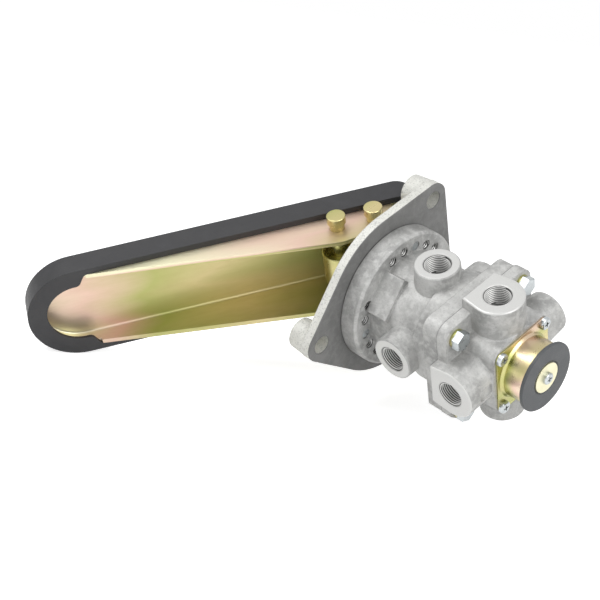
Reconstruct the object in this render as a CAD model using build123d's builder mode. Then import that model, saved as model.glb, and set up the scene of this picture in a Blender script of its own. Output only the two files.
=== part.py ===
from build123d import *
import math
import os

os.makedirs("parts", exist_ok=True)

# Treadle brake valve. The valve axis is Z, the floor face of the mounting plate is z = 0,
# the body hangs below it and the toe of the treadle points to +Y.

# Clearances
RUN_FIT = 0.06
SLIDE_FIT = 0.1
BOLT_FIT = 0.3
SEAT_GAP = 0.3
RUBBER_GAP = 0.05

# Mounting plate
PLATE_RADIUS = 55.5
PLATE_THICKNESS = 6.2
EAR_CIRCLE_RADIUS = 61.9
EAR_ANGLES = (0, 135, -135)
EAR_RADIUS = 11.3
EAR_HEIGHT = 18.0
EAR_HOLE_RADIUS = 5.95
EAR_DRAFT = 5.0
EAR_STEP = 0.3
GUIDE_RADIUS = 12.5
GUIDE_HEIGHT = 15.0
GUIDE_GROOVE_DEPTH = 1.0
LUG_INNER = 17.5
LUG_THICKNESS = 7.8
LUG_RADIUS = 9.5
LUG_FOOT = 26.0
STOP_BASE_LENGTH = 18.0
STOP_BASE_WIDTH = 10.0
STOP_BASE_CORNER = 3.0
STOP_BASE_DRAFT = 3.0
STOP_Y = -40.0
STOP_BUTTON_HEIGHT = 5.5
STOP_BUTTON_RADIUS = 5.0
STOP_STEM_RADIUS = 2.4
STOP_STEM_LENGTH = 6.0

# Pins, roller and treadle linkage
FULCRUM_Y = -20.2
FULCRUM_Z = 29.7
PIN_SPACING = 23.9
TREADLE_ANGLE = 32.4
PIN_RADIUS = 4.76
PIN_HEAD_RADIUS = 6.0
PIN_HEAD_HEIGHT = 5.3
PIN_HEAD_TOP = 39.5
CLIP_RADIUS = 8.0
CLIP_THICKNESS = 1.0
CLIP_GROOVE_DEPTH = 0.8
PIN_TAIL = 2.2
EDGE_BREAK = 0.6
ROLLER_RADIUS = 11.5
ROLLER_HALF_LENGTH = 11.5
ROLLER_DISH_RADIUS = 9.2
ROLLER_DISH_DEPTH = 2.0

# Treadle channel and its rubber cover, heights measured from the pin line
TREADLE_HALF_WIDTH = 29.5
SHEET = 3.0
WEB_UNDERSIDE = 21.6
RIM_BOTTOM = 12.8
TOE_CENTRE = 191.7
HEEL_END = -28.7
HEEL_CORNER = 10.7
BEND_RADIUS = 2.5
INNER_BEND = 1.5
FULCRUM_LOBE = 10.5
ROLLER_LOBE = 14.35
FLANGE_HEEL = -15.5
FLANGE_TOE = 183.4
FLANGE_TOE_HEIGHT = 10.9
COVER_SIDE = 4.3
COVER_TOP = 3.4
LIP_THICKNESS = 2.0
TOE_LIP_RADIUS = 21.5
LIP_CORNER = 4.0
LIP_SLANT = 5.5
COVER_EDGE = 1.0
LIP_HEEL = -26.0
LIP_SIDE_TOE = 184.0
TREAD_GROOVE_WIDTH = 2.4
TREAD_GROOVE_DEPTH = 1.3
TREAD_GROOVE_LENGTH = 50.0
TREAD_PITCH = 9.6
TREAD_COUNT = 22

# Upper body
FLANGE_RADIUS = 45.0
FLANGE_THICKNESS = 12.5
NECK_RADIUS = 33.0
SHOULDER_RADIUS = 36.5
SHOULDER_Z = -48.0
SEAM_Z = -73.3
UPPER_PORT_Z = -41.8
UPPER_BOSS_RADIUS = 14.1
BOSS_SINK = 12.0
BOSS_EDGE = 1.2
UPPER_REACH = 44.6
RING_CIRCLE_RADIUS = 36.3
RING_POSITIONS = 22
RING_HOLE_RADIUS = 3.2
PAD_WIDTH = 27.0
PAD_LENGTH = 15.5
PAD_DISTANCE = 34.6
PAD_SINK = 8.0
SCREW_SLOTS = (-3, 4, 12)
BLIND_SLOTS = 2

# Lower body
LOWER_END_Z = -104.3
LOWER_PORT_Z = -88.0
LOWER_BOSS_RADIUS = 16.2
LOWER_BOSS_FLAT = 14.3
LOWER_REACH = 45.4
BLIND_BOSS_RADIUS = 13.8
BOSS_POCKET_LENGTH = 10.6
BOSS_POCKET_WIDTH = 7.7
BOSS_POCKET_Y = 31.8
BOSS_POCKET_DEPTH = 1.6
CORE_RADIUS = 30.0
CORE_SQUARE = 49.0
CORE_CORNER = 8.0
EAR_PITCH = 29.4
UPPER_EAR_RADIUS = 7.5
LOWER_EAR_RADIUS = 8.8
EAR_CUT = 6.4
UPPER_EAR_TOP_Z = -61.8
EAR_SEAT_Z = -80.7
LOWER_FLANGE = 4.5
LOWER_FLANGE_SLOPE = 3.0
CORE_TOP = 8.0
CORE_TAPER_LENGTH = 12.0
CORE_TAPER = 4.0
DRAFT = 2.0

# Pipe ports, 3/8 inch taper thread
PORT_RADIUS = 8.45
PORT_MOUTH_RADIUS = 8.9
PORT_DEPTH = 14.0
PORT_PASSAGE_RADIUS = 4.5
PLUG_HEIGHT = 11.0
PLUG_CHAMFER = 0.6
PLUG_SOCKET_FLATS = 7.94
PLUG_SOCKET_DEPTH = 6.0

# Fasteners
BOLT_RADIUS = 3.1
BOLT_FLATS = 11.1
BOLT_HEAD = 4.7
BOLT_REACH = 8.0
HOLE_SPARE = 1.5
LOCK_WASHER_RADIUS = 5.8
LOCK_WASHER_THICKNESS = 1.7
PLATE_SCREW_RADIUS = 3.1
PLATE_SCREW_HEAD_RADIUS = 4.75
PLATE_SCREW_HEAD = 6.3
PLATE_SCREW_FLATS = 4.76
COVER_SCREW_RADIUS = 2.4
COVER_SCREW_HEAD_RADIUS = 4.1
COVER_SCREW_HEAD = 2.6
COVER_SCREW_LENGTH = 10.0
COVER_SCREW_DOME = 1.4
COVER_SCREW_PITCH = 19.35
CROSS_WIDTH = 0.9
CROSS_LENGTH = 4.0
CROSS_DEPTH = 1.4

# Exhaust cover and flap
COVER_SQUARE = 46.0
COVER_CORNER = 4.5
COVER_SHEET = 1.2
DRUM_RADIUS = 19.8
DRUM_END_Z = -119.2
VENT_RADIUS = 3.0
VENT_CIRCLE_RADIUS = 12.8
VENT_COUNT = 6
FLAP_RADIUS = 22.4
FLAP_THICKNESS = 2.3
FLAP_HUB_RADIUS = 11.2
FLAP_HUB_DEPTH = 0.9
FLAP_WASHER_RADIUS = 9.86
FLAP_WASHER_THICKNESS = 1.2
FLAP_SCREW_RADIUS = 2.0
FLAP_SCREW_HEAD_RADIUS = 3.8
FLAP_SCREW_HEAD = 2.2
FLAP_SCREW_LENGTH = 8.0
FLAP_SCREW_DOME = 1.2

# Working parts inside the bodies
PLUNGER_RADIUS = 8.0
PLUNGER_GROOVE_DEPTH = 1.0
BOOT_FOLDS = 5
BOOT_WALL = 1.0
BOOT_CREST = 1.8
BOOT_TAPER = 2.0
SEAT_RADIUS = 14.0
SEAT_THICKNESS = 3.6
PISTON_RADIUS = 26.0
PISTON_TOP_Z = -6.0
PISTON_FLOOR_Z = -18.5
PISTON_BOTTOM_Z = -22.5
PISTON_CUP_RADIUS = 20.0
PISTON_SHELF_Z = -30.0
RUBBER_SPRING_RADIUS = 13.5
RUBBER_SPRING_BORE = 5.0
STEM_RADIUS = 5.0
STEM_BORE = 3.0
UPPER_SEAT_Z = -33.0
SEAT_WALL = 3.2
SEAT_BORE = 7.2
VALVE_RADIUS = 9.6
VALVE_THICKNESS = 3.0
VALVE_TUBE_RADIUS = 4.6
CHAMBER_RADIUS = 13.2
UPPER_RETAINER_Z = -49.0
UPPER_TUBE_END_Z = -51.0
STEM_GAP = 1.0
RETAINER_THICKNESS = 3.0
SNAP_RING_THICKNESS = 1.2
SNAP_RING_GROOVE = 1.0
SNAP_RING_WIDTH = 1.6
SNAP_RING_MOUTH = 5.0
RELAY_RADIUS = 24.0
RELAY_CEILING_Z = -58.5
RELAY_TOP_Z = -60.5
RELAY_BOTTOM_Z = -68.5
RELAY_SHELF_Z = -75.0
LOWER_SEAT_Z = -79.0
LOWER_RETAINER_Z = -94.0
LOWER_TUBE_END_Z = -96.0
DELIVERY_RADIUS = 14.0
RING_SECTION = 1.5
RING_ROOM = 0.2
RING_SET = 3.5
SPRING_WIRE = 0.8
VALVE_SPRING_ROOM = 2.5
RELAY_SPRING_ROOM = 6.0

# Places worked out from the driving dimensions
REST_TURN = math.radians(TREADLE_ANGLE)
ROLLER_Y = FULCRUM_Y + PIN_SPACING * math.cos(REST_TURN)
ROLLER_Z = FULCRUM_Z + PIN_SPACING * math.sin(REST_TURN)
PLUNGER_TOP_Z = ROLLER_Z - ROLLER_RADIUS - SEAT_GAP
SHEET_TOP = WEB_UNDERSIDE + SHEET
COVER_BOTTOM = RIM_BOTTOM - LIP_THICKNESS
RING_PITCH = 360 / RING_POSITIONS
PAD_ANGLE = 45.0
EAR_PLACES = [(x * EAR_PITCH, y * EAR_PITCH) for x in (-1, 1) for y in (-1, 1)]
COVER_SCREW_PLACES = [(x * COVER_SCREW_PITCH, y * COVER_SCREW_PITCH) for x in (-1, 1) for y in (-1, 1)]
COVER_FACE_Z = LOWER_END_Z - COVER_SHEET
FLAP_TOP_Z = DRUM_END_Z - COVER_SHEET
FLAP_HUB_Z = FLAP_TOP_Z - FLAP_THICKNESS + FLAP_HUB_DEPTH
SNAP_RADIUS = CHAMBER_RADIUS + SNAP_RING_GROOVE
UPPER_VALVE_Z = UPPER_SEAT_Z - SEAT_WALL - SEAT_GAP
LOWER_VALVE_Z = LOWER_SEAT_Z - SEAT_WALL - SEAT_GAP
SEAT_TOP_Z = -SEAT_GAP
TREADLE_PLANE = Plane(
    origin=(0, FULCRUM_Y, FULCRUM_Z),
    x_dir=(1, 0, 0),
    z_dir=(0, -math.sin(REST_TURN), math.cos(REST_TURN)),
)
TREADLE_UP = Axis((0, FULCRUM_Y, FULCRUM_Z), (0, -math.sin(REST_TURN), math.cos(REST_TURN)))


def around(radius, angle):
    """Point on a circle about the valve axis, the angle counted from +Y towards -X."""
    turn = math.radians(angle)
    return (-radius * math.sin(turn), radius * math.cos(turn))


def side_plane(angle, z, reach=0):
    """Plane across a radial port, its normal pointing away from the valve axis."""
    x, y = around(1, angle)
    return Plane(origin=(x * reach, y * reach, z), x_dir=(-y, x, 0), z_dir=(x, y, 0))


def outline(points, plane=Plane.XZ):
    """Closed face through a few corner points."""
    with BuildSketch(plane) as face:
        with BuildLine():
            Polyline(*points, close=True)
        make_face()
    return face.sketch


def turned(points, mode=Mode.ADD):
    """Solid turned about the valve axis from radius and height pairs."""
    revolve(outline(points), axis=Axis.Z, mode=mode)


def pan_outline(half_width, heel, corner):
    """Outline of the treadle seen from above: round toe, rounded heel corners."""
    length = TOE_CENTRE - heel
    with BuildSketch() as pan:
        with Locations((0, heel + length / 2)):
            Rectangle(2 * half_width, length)
        fillet(pan.vertices().group_by(Axis.Y)[0], corner)
        with Locations((0, TOE_CENTRE)):
            Circle(half_width)
    return pan.sketch


def pan_solid(half_width, heel, corner, low, high, mode=Mode.ADD):
    """Treadle outline raised between two heights over the pin line."""
    plane = TREADLE_PLANE.offset(low)
    extrude(plane * pan_outline(half_width, heel, corner), amount=high - low, dir=plane.z_dir, mode=mode)


def pin_bores(places, radius):
    """Straight bores along X at the given y and z places."""
    with BuildSketch(Plane.YZ.offset(-PIN_HEAD_TOP)) as holes:
        with Locations(*places):
            Circle(radius)
    extrude(holes.sketch, amount=2 * PIN_HEAD_TOP, mode=Mode.SUBTRACT)


def headed_pin(y, z):
    """Clevis pin along X with its head on the -X side and a clip groove at the far end."""
    tail = TREADLE_HALF_WIDTH + SEAT_GAP + CLIP_THICKNESS + PIN_TAIL
    groove = TREADLE_HALF_WIDTH + SEAT_GAP
    start = -PIN_HEAD_TOP
    under_head = start + PIN_HEAD_HEIGHT
    neck = PIN_RADIUS - CLIP_GROOVE_DEPTH
    plane = Plane(origin=(0, y, z), x_dir=(1, 0, 0), z_dir=(0, -1, 0))
    points = [
        (start, 0),
        (start, PIN_HEAD_RADIUS - 0.4),
        (start + 0.4, PIN_HEAD_RADIUS),
        (under_head, PIN_HEAD_RADIUS),
        (under_head, PIN_RADIUS),
        (groove, PIN_RADIUS),
        (groove, neck),
        (groove + CLIP_THICKNESS, neck),
        (groove + CLIP_THICKNESS, PIN_RADIUS),
        (tail - EDGE_BREAK, PIN_RADIUS),
        (tail, PIN_RADIUS - EDGE_BREAK),
        (tail, 0),
    ]
    revolve(outline(points, plane), axis=Axis((0, y, z), (1, 0, 0)))


def pin_clip(y, z):
    """Spring clip that sits in the groove of a clevis pin, open on its lower side."""
    place = TREADLE_HALF_WIDTH + SEAT_GAP
    with BuildSketch(Plane.YZ.offset(place)) as ring:
        with Locations((y, z)):
            Circle(CLIP_RADIUS)
            Circle(PIN_RADIUS - CLIP_GROOVE_DEPTH + RUBBER_GAP, mode=Mode.SUBTRACT)
        with Locations((y, z - CLIP_RADIUS)):
            Rectangle(PIN_RADIUS, 2 * CLIP_RADIUS, mode=Mode.SUBTRACT)
    extrude(ring.sketch, amount=CLIP_THICKNESS)


def cross_recess(places, z):
    """Cross-shaped driver recess cut upward into screw heads that face down."""
    with BuildSketch(Plane.XY.offset(z)) as cross:
        with Locations(*places):
            Rectangle(CROSS_LENGTH, CROSS_WIDTH)
            Rectangle(CROSS_WIDTH, CROSS_LENGTH)
    extrude(cross.sketch, amount=CROSS_DEPTH, mode=Mode.SUBTRACT)


def discs(places, radius, low, high, mode=Mode.ADD, taper=0):
    """Round bars parallel to the valve axis between two heights."""
    with BuildSketch(Plane.XY.offset(low)) as circles:
        with Locations(*places):
            Circle(radius)
    extrude(circles.sketch, amount=high - low, taper=taper, mode=mode)


def square_flange(corner, low, high):
    """Square flange whose rounded corners carry the bolts, one of them cut off at 45 degrees."""
    width = 2 * (EAR_PITCH + corner)
    near = 2 * EAR_PITCH + EAR_CUT * math.sqrt(2) - width
    with BuildSketch(Plane.XY.offset(low)) as square:
        RectangleRounded(width, width, corner)
        Polygon((near, width), (width, near), (width, width), align=None, mode=Mode.SUBTRACT)
    extrude(square.sketch, amount=high - low)


def round_boss(angle, z, radius, start, reach, draft):
    """Drafted round boss from inside the body out to its mouth of the given radius."""
    spread = (reach - start) * math.tan(math.radians(draft))
    with BuildSketch(side_plane(angle, z, start)) as boss:
        Circle(radius + spread)
    extrude(boss.sketch, amount=reach - start, taper=draft)


def port_bore(angle, z, reach, inner):
    """Threaded pipe port with a chamfered mouth and the passage behind it."""
    mouth = side_plane(angle, z, reach)
    lead = PORT_MOUTH_RADIUS - PORT_RADIUS
    with BuildSketch(mouth) as lead_in:
        Circle(PORT_MOUTH_RADIUS)
    extrude(lead_in.sketch, amount=-lead, taper=45, mode=Mode.SUBTRACT)
    with BuildSketch(mouth) as bore:
        Circle(PORT_RADIUS)
    extrude(bore.sketch, amount=-PORT_DEPTH, mode=Mode.SUBTRACT)
    with BuildSketch(mouth) as passage:
        Circle(PORT_PASSAGE_RADIUS)
    extrude(passage.sketch, amount=inner - reach, mode=Mode.SUBTRACT)


def valve_poppet(top_z, tube_end_z):
    """Inlet and exhaust valve: a faced disc on a hollow guide tube."""
    turned(
        [
            (STEM_BORE, top_z),
            (VALVE_RADIUS, top_z),
            (VALVE_RADIUS, top_z - VALVE_THICKNESS),
            (VALVE_TUBE_RADIUS, top_z - VALVE_THICKNESS),
            (VALVE_TUBE_RADIUS, tube_end_z),
            (STEM_BORE, tube_end_z),
        ]
    )


def retainer(top_z):
    """Guide disc that closes a valve chamber and guides the valve's tube."""
    rim = CHAMBER_RADIUS - SLIDE_FIT
    bore = VALVE_TUBE_RADIUS + SLIDE_FIT
    turned(
        [
            (bore, top_z),
            (rim, top_z),
            (rim, top_z - RETAINER_THICKNESS),
            (bore, top_z - RETAINER_THICKNESS),
        ]
    )


def snap_ring(top_z):
    """Internal retaining ring with an open gap."""
    outer = SNAP_RADIUS - SLIDE_FIT
    inner = CHAMBER_RADIUS - SNAP_RING_WIDTH
    low = top_z - SNAP_RING_THICKNESS
    with BuildSketch(Plane.XY.offset(low)) as ring:
        Circle(outer)
        Circle(inner, mode=Mode.SUBTRACT)
        with Locations((0, CHAMBER_RADIUS)):
            Rectangle(SNAP_RING_MOUTH, SNAP_RING_MOUTH, mode=Mode.SUBTRACT)
    extrude(ring.sketch, amount=SNAP_RING_THICKNESS)


def seal_ring(radius, z):
    """Round rubber ring of the common section, centred on the valve axis."""
    with BuildSketch(Plane.XZ) as section:
        with Locations((radius, z)):
            Circle(RING_SECTION)
    revolve(section.sketch, axis=Axis.Z)


def coil_spring(radius, low, high, turns):
    """Helical compression spring of the common wire."""
    rise = high - low - 2 * SPRING_WIRE
    with BuildLine() as path:
        Helix(pitch=rise / turns, height=rise, radius=radius, center=(0, 0, low + SPRING_WIRE))
    with BuildSketch(Plane(origin=path.line @ 0, z_dir=path.line % 0)) as wire:
        Circle(SPRING_WIRE)
    sweep(wire.sketch, path=path.line)


# Mounting plate with three ears, plunger guide, hinge lugs and stop pedestal
ear_places = [around(EAR_CIRCLE_RADIUS, angle) for angle in EAR_ANGLES]
screw_angles = [PAD_ANGLE + slot * RING_PITCH for slot in SCREW_SLOTS]
screw_places = [around(RING_CIRCLE_RADIUS, angle) for angle in screw_angles]
web_at_stop = FULCRUM_Z + WEB_UNDERSIDE / math.cos(REST_TURN) + (STOP_Y - FULCRUM_Y) * math.tan(REST_TURN)
dome_centre = web_at_stop - STOP_BUTTON_RADIUS / math.cos(REST_TURN) - SEAT_GAP
stop_top_z = dome_centre - STOP_BUTTON_HEIGHT
with BuildPart() as mounting_plate:
    for place in ear_places:
        with BuildSketch() as web:
            Circle(PLATE_RADIUS)
            with Locations(place):
                Circle(EAR_RADIUS)
            make_hull()
        extrude(web.sketch, amount=PLATE_THICKNESS)
    discs(ear_places, EAR_RADIUS - EAR_STEP, PLATE_THICKNESS, EAR_HEIGHT, taper=EAR_DRAFT)
    turned(
        [
            (0, PLATE_THICKNESS),
            (GUIDE_RADIUS + 2, PLATE_THICKNESS),
            (GUIDE_RADIUS, PLATE_THICKNESS + 2),
            (GUIDE_RADIUS, GUIDE_HEIGHT - 5),
            (GUIDE_RADIUS - GUIDE_GROOVE_DEPTH, GUIDE_HEIGHT - 5),
            (GUIDE_RADIUS - GUIDE_GROOVE_DEPTH, GUIDE_HEIGHT - 3),
            (GUIDE_RADIUS, GUIDE_HEIGHT - 3),
            (GUIDE_RADIUS, GUIDE_HEIGHT),
            (0, GUIDE_HEIGHT),
        ]
    )
    for side in (-1, 1):
        lug_start = LUG_INNER if side > 0 else -LUG_INNER - LUG_THICKNESS
        with BuildSketch(Plane.YZ.offset(lug_start)) as lug:
            with Locations((FULCRUM_Y, FULCRUM_Z)):
                Circle(LUG_RADIUS)
            with Locations((FULCRUM_Y, PLATE_THICKNESS)):
                Rectangle(LUG_FOOT, 1)
            make_hull()
        extrude(lug.sketch, amount=LUG_THICKNESS)
    with BuildSketch(Plane.XY.offset(PLATE_THICKNESS)) as pedestal:
        with Locations((0, STOP_Y)):
            RectangleRounded(STOP_BASE_LENGTH, STOP_BASE_WIDTH, STOP_BASE_CORNER)
    extrude(pedestal.sketch, amount=stop_top_z - PLATE_THICKNESS, taper=STOP_BASE_DRAFT)
    discs([(0, STOP_Y)], STOP_STEM_RADIUS + RUBBER_GAP, stop_top_z - STOP_STEM_LENGTH - HOLE_SPARE,
          stop_top_z, Mode.SUBTRACT)
    discs([(0, 0)], PLUNGER_RADIUS + RUN_FIT, 0, GUIDE_HEIGHT, Mode.SUBTRACT)
    discs(ear_places, EAR_HOLE_RADIUS, 0, EAR_HEIGHT, Mode.SUBTRACT)
    discs(screw_places, PLATE_SCREW_RADIUS + BOLT_FIT, 0, PLATE_THICKNESS, Mode.SUBTRACT)
    pin_bores([(FULCRUM_Y, FULCRUM_Z)], PIN_RADIUS + RUN_FIT)
mounting_plate.part.label = "mounting_plate"
export_step(mounting_plate.part, "parts/mounting_plate.step")

# Rubber stop button under the heel of the treadle
with BuildPart() as stop_button:
    discs([(0, STOP_Y)], STOP_STEM_RADIUS, stop_top_z - STOP_STEM_LENGTH, stop_top_z)
    discs([(0, STOP_Y)], STOP_BUTTON_RADIUS, stop_top_z, dome_centre)
    with Locations((0, STOP_Y, dome_centre)):
        Sphere(STOP_BUTTON_RADIUS)
stop_button.part.label = "stop_button"
export_step(stop_button.part, "parts/stop_button.step")

# Socket head screws that clamp the upper body's flange to the plate
with BuildPart() as plate_screws:
    discs(screw_places, PLATE_SCREW_RADIUS, -FLANGE_THICKNESS + EDGE_BREAK, PLATE_THICKNESS)
    discs(screw_places, PLATE_SCREW_HEAD_RADIUS, PLATE_THICKNESS, PLATE_THICKNESS + PLATE_SCREW_HEAD)
    with BuildSketch(Plane.XY.offset(PLATE_THICKNESS + PLATE_SCREW_HEAD)) as sockets:
        with Locations(*screw_places):
            RegularPolygon(PLATE_SCREW_FLATS / 2, 6, major_radius=False)
    extrude(sockets.sketch, amount=-PLATE_SCREW_HEAD / 2, mode=Mode.SUBTRACT)
plate_screws.part.label = "plate_screws"
export_step(plate_screws.part, "parts/plate_screws.step")

# Upper body: flange with a ring of tapped holes, neck, shoulder, four ports
ring_angles = [PAD_ANGLE + slot * RING_PITCH for slot in range(BLIND_SLOTS, RING_POSITIONS)]
ring_places = [around(RING_CIRCLE_RADIUS, angle) for angle in ring_angles]
with BuildPart() as upper_body:
    turned(
        [
            (0, 0),
            (FLANGE_RADIUS - EDGE_BREAK, 0),
            (FLANGE_RADIUS, -EDGE_BREAK),
            (FLANGE_RADIUS, -FLANGE_THICKNESS + 1.5),
            (FLANGE_RADIUS - 1.5, -FLANGE_THICKNESS),
            (NECK_RADIUS, -FLANGE_THICKNESS),
            (NECK_RADIUS, SHOULDER_Z),
            (SHOULDER_RADIUS, SHOULDER_Z - 2),
            (SHOULDER_RADIUS, SEAM_Z),
            (0, SEAM_Z),
        ]
    )
    square_flange(UPPER_EAR_RADIUS, SEAM_Z, UPPER_EAR_TOP_Z)
    for angle in (0, 90, 180, 270):
        round_boss(angle, UPPER_PORT_Z, UPPER_BOSS_RADIUS, NECK_RADIUS - BOSS_SINK, UPPER_REACH, DRAFT)
    for angle in (0, 90, 180, 270):
        mouth = upper_body.faces().filter_by(GeomType.PLANE).sort_by(Axis((0, 0, 0), (*around(1, angle), 0)))[-1]
        fillet(mouth.edges(), BOSS_EDGE)
    with BuildSketch(side_plane(PAD_ANGLE, -FLANGE_THICKNESS - PAD_LENGTH / 2, PAD_DISTANCE)) as pad:
        Rectangle(PAD_WIDTH, PAD_LENGTH)
    extrude(pad.sketch, amount=-PAD_SINK)
    turned(
        [
            (0, 0),
            (PISTON_RADIUS, 0),
            (PISTON_RADIUS, PISTON_SHELF_Z),
            (DELIVERY_RADIUS, PISTON_SHELF_Z),
            (DELIVERY_RADIUS, UPPER_SEAT_Z),
            (SEAT_BORE, UPPER_SEAT_Z),
            (SEAT_BORE, UPPER_SEAT_Z - SEAT_WALL),
            (CHAMBER_RADIUS, UPPER_SEAT_Z - SEAT_WALL),
            (CHAMBER_RADIUS, UPPER_RETAINER_Z - RETAINER_THICKNESS),
            (SNAP_RADIUS, UPPER_RETAINER_Z - RETAINER_THICKNESS),
            (SNAP_RADIUS, UPPER_RETAINER_Z - RETAINER_THICKNESS - SNAP_RING_THICKNESS - 0.1),
            (CHAMBER_RADIUS, UPPER_RETAINER_Z - RETAINER_THICKNESS - SNAP_RING_THICKNESS - 0.1),
            (CHAMBER_RADIUS, RELAY_CEILING_Z),
            (RELAY_RADIUS, RELAY_CEILING_Z),
            (RELAY_RADIUS, SEAM_Z),
            (0, SEAM_Z),
        ],
        Mode.SUBTRACT,
    )
    for angle in (0, 90, 180, 270):
        port_bore(angle, UPPER_PORT_Z, UPPER_REACH, CHAMBER_RADIUS - 1)
    discs(EAR_PLACES, BOLT_RADIUS + RUBBER_GAP, SEAM_Z, SEAM_Z + BOLT_REACH + HOLE_SPARE, Mode.SUBTRACT)
    discs(ring_places, RING_HOLE_RADIUS, -FLANGE_THICKNESS, 0, Mode.SUBTRACT)
upper_body.part.label = "upper_body"
export_step(upper_body.part, "parts/upper_body.step")

# Lower body: square flange and core, two flat-sided ports and two round ones
ring_groove_radius = RELAY_RADIUS + RING_SET
boss_top = SEAM_Z - LOWER_PORT_Z
boss_start = CORE_RADIUS - BOSS_SINK
with BuildPart() as lower_body:
    turned(
        [
            (0, SEAM_Z),
            (SHOULDER_RADIUS, SEAM_Z),
            (SHOULDER_RADIUS, SEAM_Z - LOWER_FLANGE),
            (CORE_RADIUS, SEAM_Z - LOWER_FLANGE - LOWER_FLANGE_SLOPE),
            (CORE_RADIUS, LOWER_END_Z + CORE_TAPER_LENGTH),
            (CORE_RADIUS - CORE_TAPER, LOWER_END_Z),
            (0, LOWER_END_Z),
        ]
    )
    with BuildSketch(Plane.XY.offset(LOWER_END_Z)) as core:
        RectangleRounded(CORE_SQUARE, CORE_SQUARE, CORE_CORNER)
    extrude(core.sketch, amount=SEAM_Z - CORE_TOP - LOWER_END_Z)
    square_flange(LOWER_EAR_RADIUS, EAR_SEAT_Z, SEAM_Z)
    for angle in (0, 90):
        with BuildSketch(side_plane(angle, LOWER_PORT_Z, boss_start)) as boss:
            Circle(LOWER_BOSS_RADIUS)
            with Locations((0, boss_top / 2)):
                Rectangle(2 * LOWER_BOSS_FLAT, boss_top)
            make_hull()
        extrude(boss.sketch, amount=LOWER_REACH - boss_start)
    for angle in (180, 270):
        round_boss(angle, LOWER_PORT_Z, BLIND_BOSS_RADIUS, boss_start, LOWER_REACH, 2 * DRAFT)
    discs([(0, 0)], 2 * LOWER_REACH, SEAM_Z, 0, Mode.SUBTRACT)
    for angle in (0, 90, 180, 270):
        mouth = lower_body.faces().filter_by(GeomType.PLANE).sort_by(Axis((0, 0, 0), (*around(1, angle), 0)))[-1]
        fillet(mouth.edges(), BOSS_EDGE)
    with BuildSketch(Plane.XY.offset(LOWER_PORT_Z - LOWER_BOSS_RADIUS)) as pocket:
        with Locations((0, BOSS_POCKET_Y)):
            Rectangle(BOSS_POCKET_WIDTH, BOSS_POCKET_LENGTH)
        fillet(pocket.vertices().group_by(Axis.X)[-1], BOSS_POCKET_WIDTH / 2)
    extrude(pocket.sketch, amount=BOSS_POCKET_DEPTH, mode=Mode.SUBTRACT)
    turned(
        [
            (0, SEAM_Z),
            (RELAY_RADIUS, SEAM_Z),
            (RELAY_RADIUS, RELAY_SHELF_Z),
            (DELIVERY_RADIUS, RELAY_SHELF_Z),
            (DELIVERY_RADIUS, LOWER_SEAT_Z),
            (SEAT_BORE, LOWER_SEAT_Z),
            (SEAT_BORE, LOWER_SEAT_Z - SEAT_WALL),
            (CHAMBER_RADIUS, LOWER_SEAT_Z - SEAT_WALL),
            (CHAMBER_RADIUS, LOWER_RETAINER_Z - RETAINER_THICKNESS),
            (SNAP_RADIUS, LOWER_RETAINER_Z - RETAINER_THICKNESS),
            (SNAP_RADIUS, LOWER_RETAINER_Z - RETAINER_THICKNESS - SNAP_RING_THICKNESS - 0.1),
            (CHAMBER_RADIUS, LOWER_RETAINER_Z - RETAINER_THICKNESS - SNAP_RING_THICKNESS - 0.1),
            (CHAMBER_RADIUS, LOWER_END_Z),
            (0, LOWER_END_Z),
        ],
        Mode.SUBTRACT,
    )
    turned(
        [
            (ring_groove_radius - RING_SECTION - RING_ROOM, SEAM_Z),
            (ring_groove_radius + RING_SECTION + RING_ROOM, SEAM_Z),
            (ring_groove_radius + RING_SECTION + RING_ROOM, SEAM_Z - 2 * RING_SECTION - SLIDE_FIT),
            (ring_groove_radius - RING_SECTION - RING_ROOM, SEAM_Z - 2 * RING_SECTION - SLIDE_FIT),
        ],
        Mode.SUBTRACT,
    )
    for angle in (0, 90, 180, 270):
        port_bore(angle, LOWER_PORT_Z, LOWER_REACH, CHAMBER_RADIUS - 1)
    discs(EAR_PLACES, BOLT_RADIUS + BOLT_FIT, EAR_SEAT_Z, SEAM_Z, Mode.SUBTRACT)
    discs(COVER_SCREW_PLACES, COVER_SCREW_RADIUS + RUBBER_GAP, LOWER_END_Z,
          LOWER_END_Z + COVER_SCREW_LENGTH + HOLE_SPARE, Mode.SUBTRACT)
lower_body.part.label = "lower_body"
export_step(lower_body.part, "parts/lower_body.step")

# Seal ring between the two bodies
with BuildPart() as body_seal_ring:
    seal_ring(ring_groove_radius, SEAM_Z - RING_SECTION - RUBBER_GAP)
body_seal_ring.part.label = "body_seal_ring"
export_step(body_seal_ring.part, "parts/body_seal_ring.step")

# Hex bolts and lock washers that hold the lower body to the upper one
bolt_face_z = EAR_SEAT_Z - LOCK_WASHER_THICKNESS
with BuildPart() as body_bolts:
    with BuildSketch(Plane.XY.offset(bolt_face_z - BOLT_HEAD)) as heads:
        with Locations(*EAR_PLACES):
            RegularPolygon(BOLT_FLATS / 2, 6, major_radius=False)
    extrude(heads.sketch, amount=BOLT_HEAD)
    chamfer(body_bolts.faces().sort_by(Axis.Z)[0:4].edges(), EDGE_BREAK)
    discs(EAR_PLACES, BOLT_RADIUS, bolt_face_z, SEAM_Z + BOLT_REACH)
body_bolts.part.label = "body_bolts"
export_step(body_bolts.part, "parts/body_bolts.step")

with BuildPart() as body_lock_washers:
    discs(EAR_PLACES, LOCK_WASHER_RADIUS, bolt_face_z, EAR_SEAT_Z)
    discs(EAR_PLACES, BOLT_RADIUS + BOLT_FIT, bolt_face_z, EAR_SEAT_Z, Mode.SUBTRACT)
body_lock_washers.part.label = "body_lock_washers"
export_step(body_lock_washers.part, "parts/body_lock_washers.step")

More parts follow.
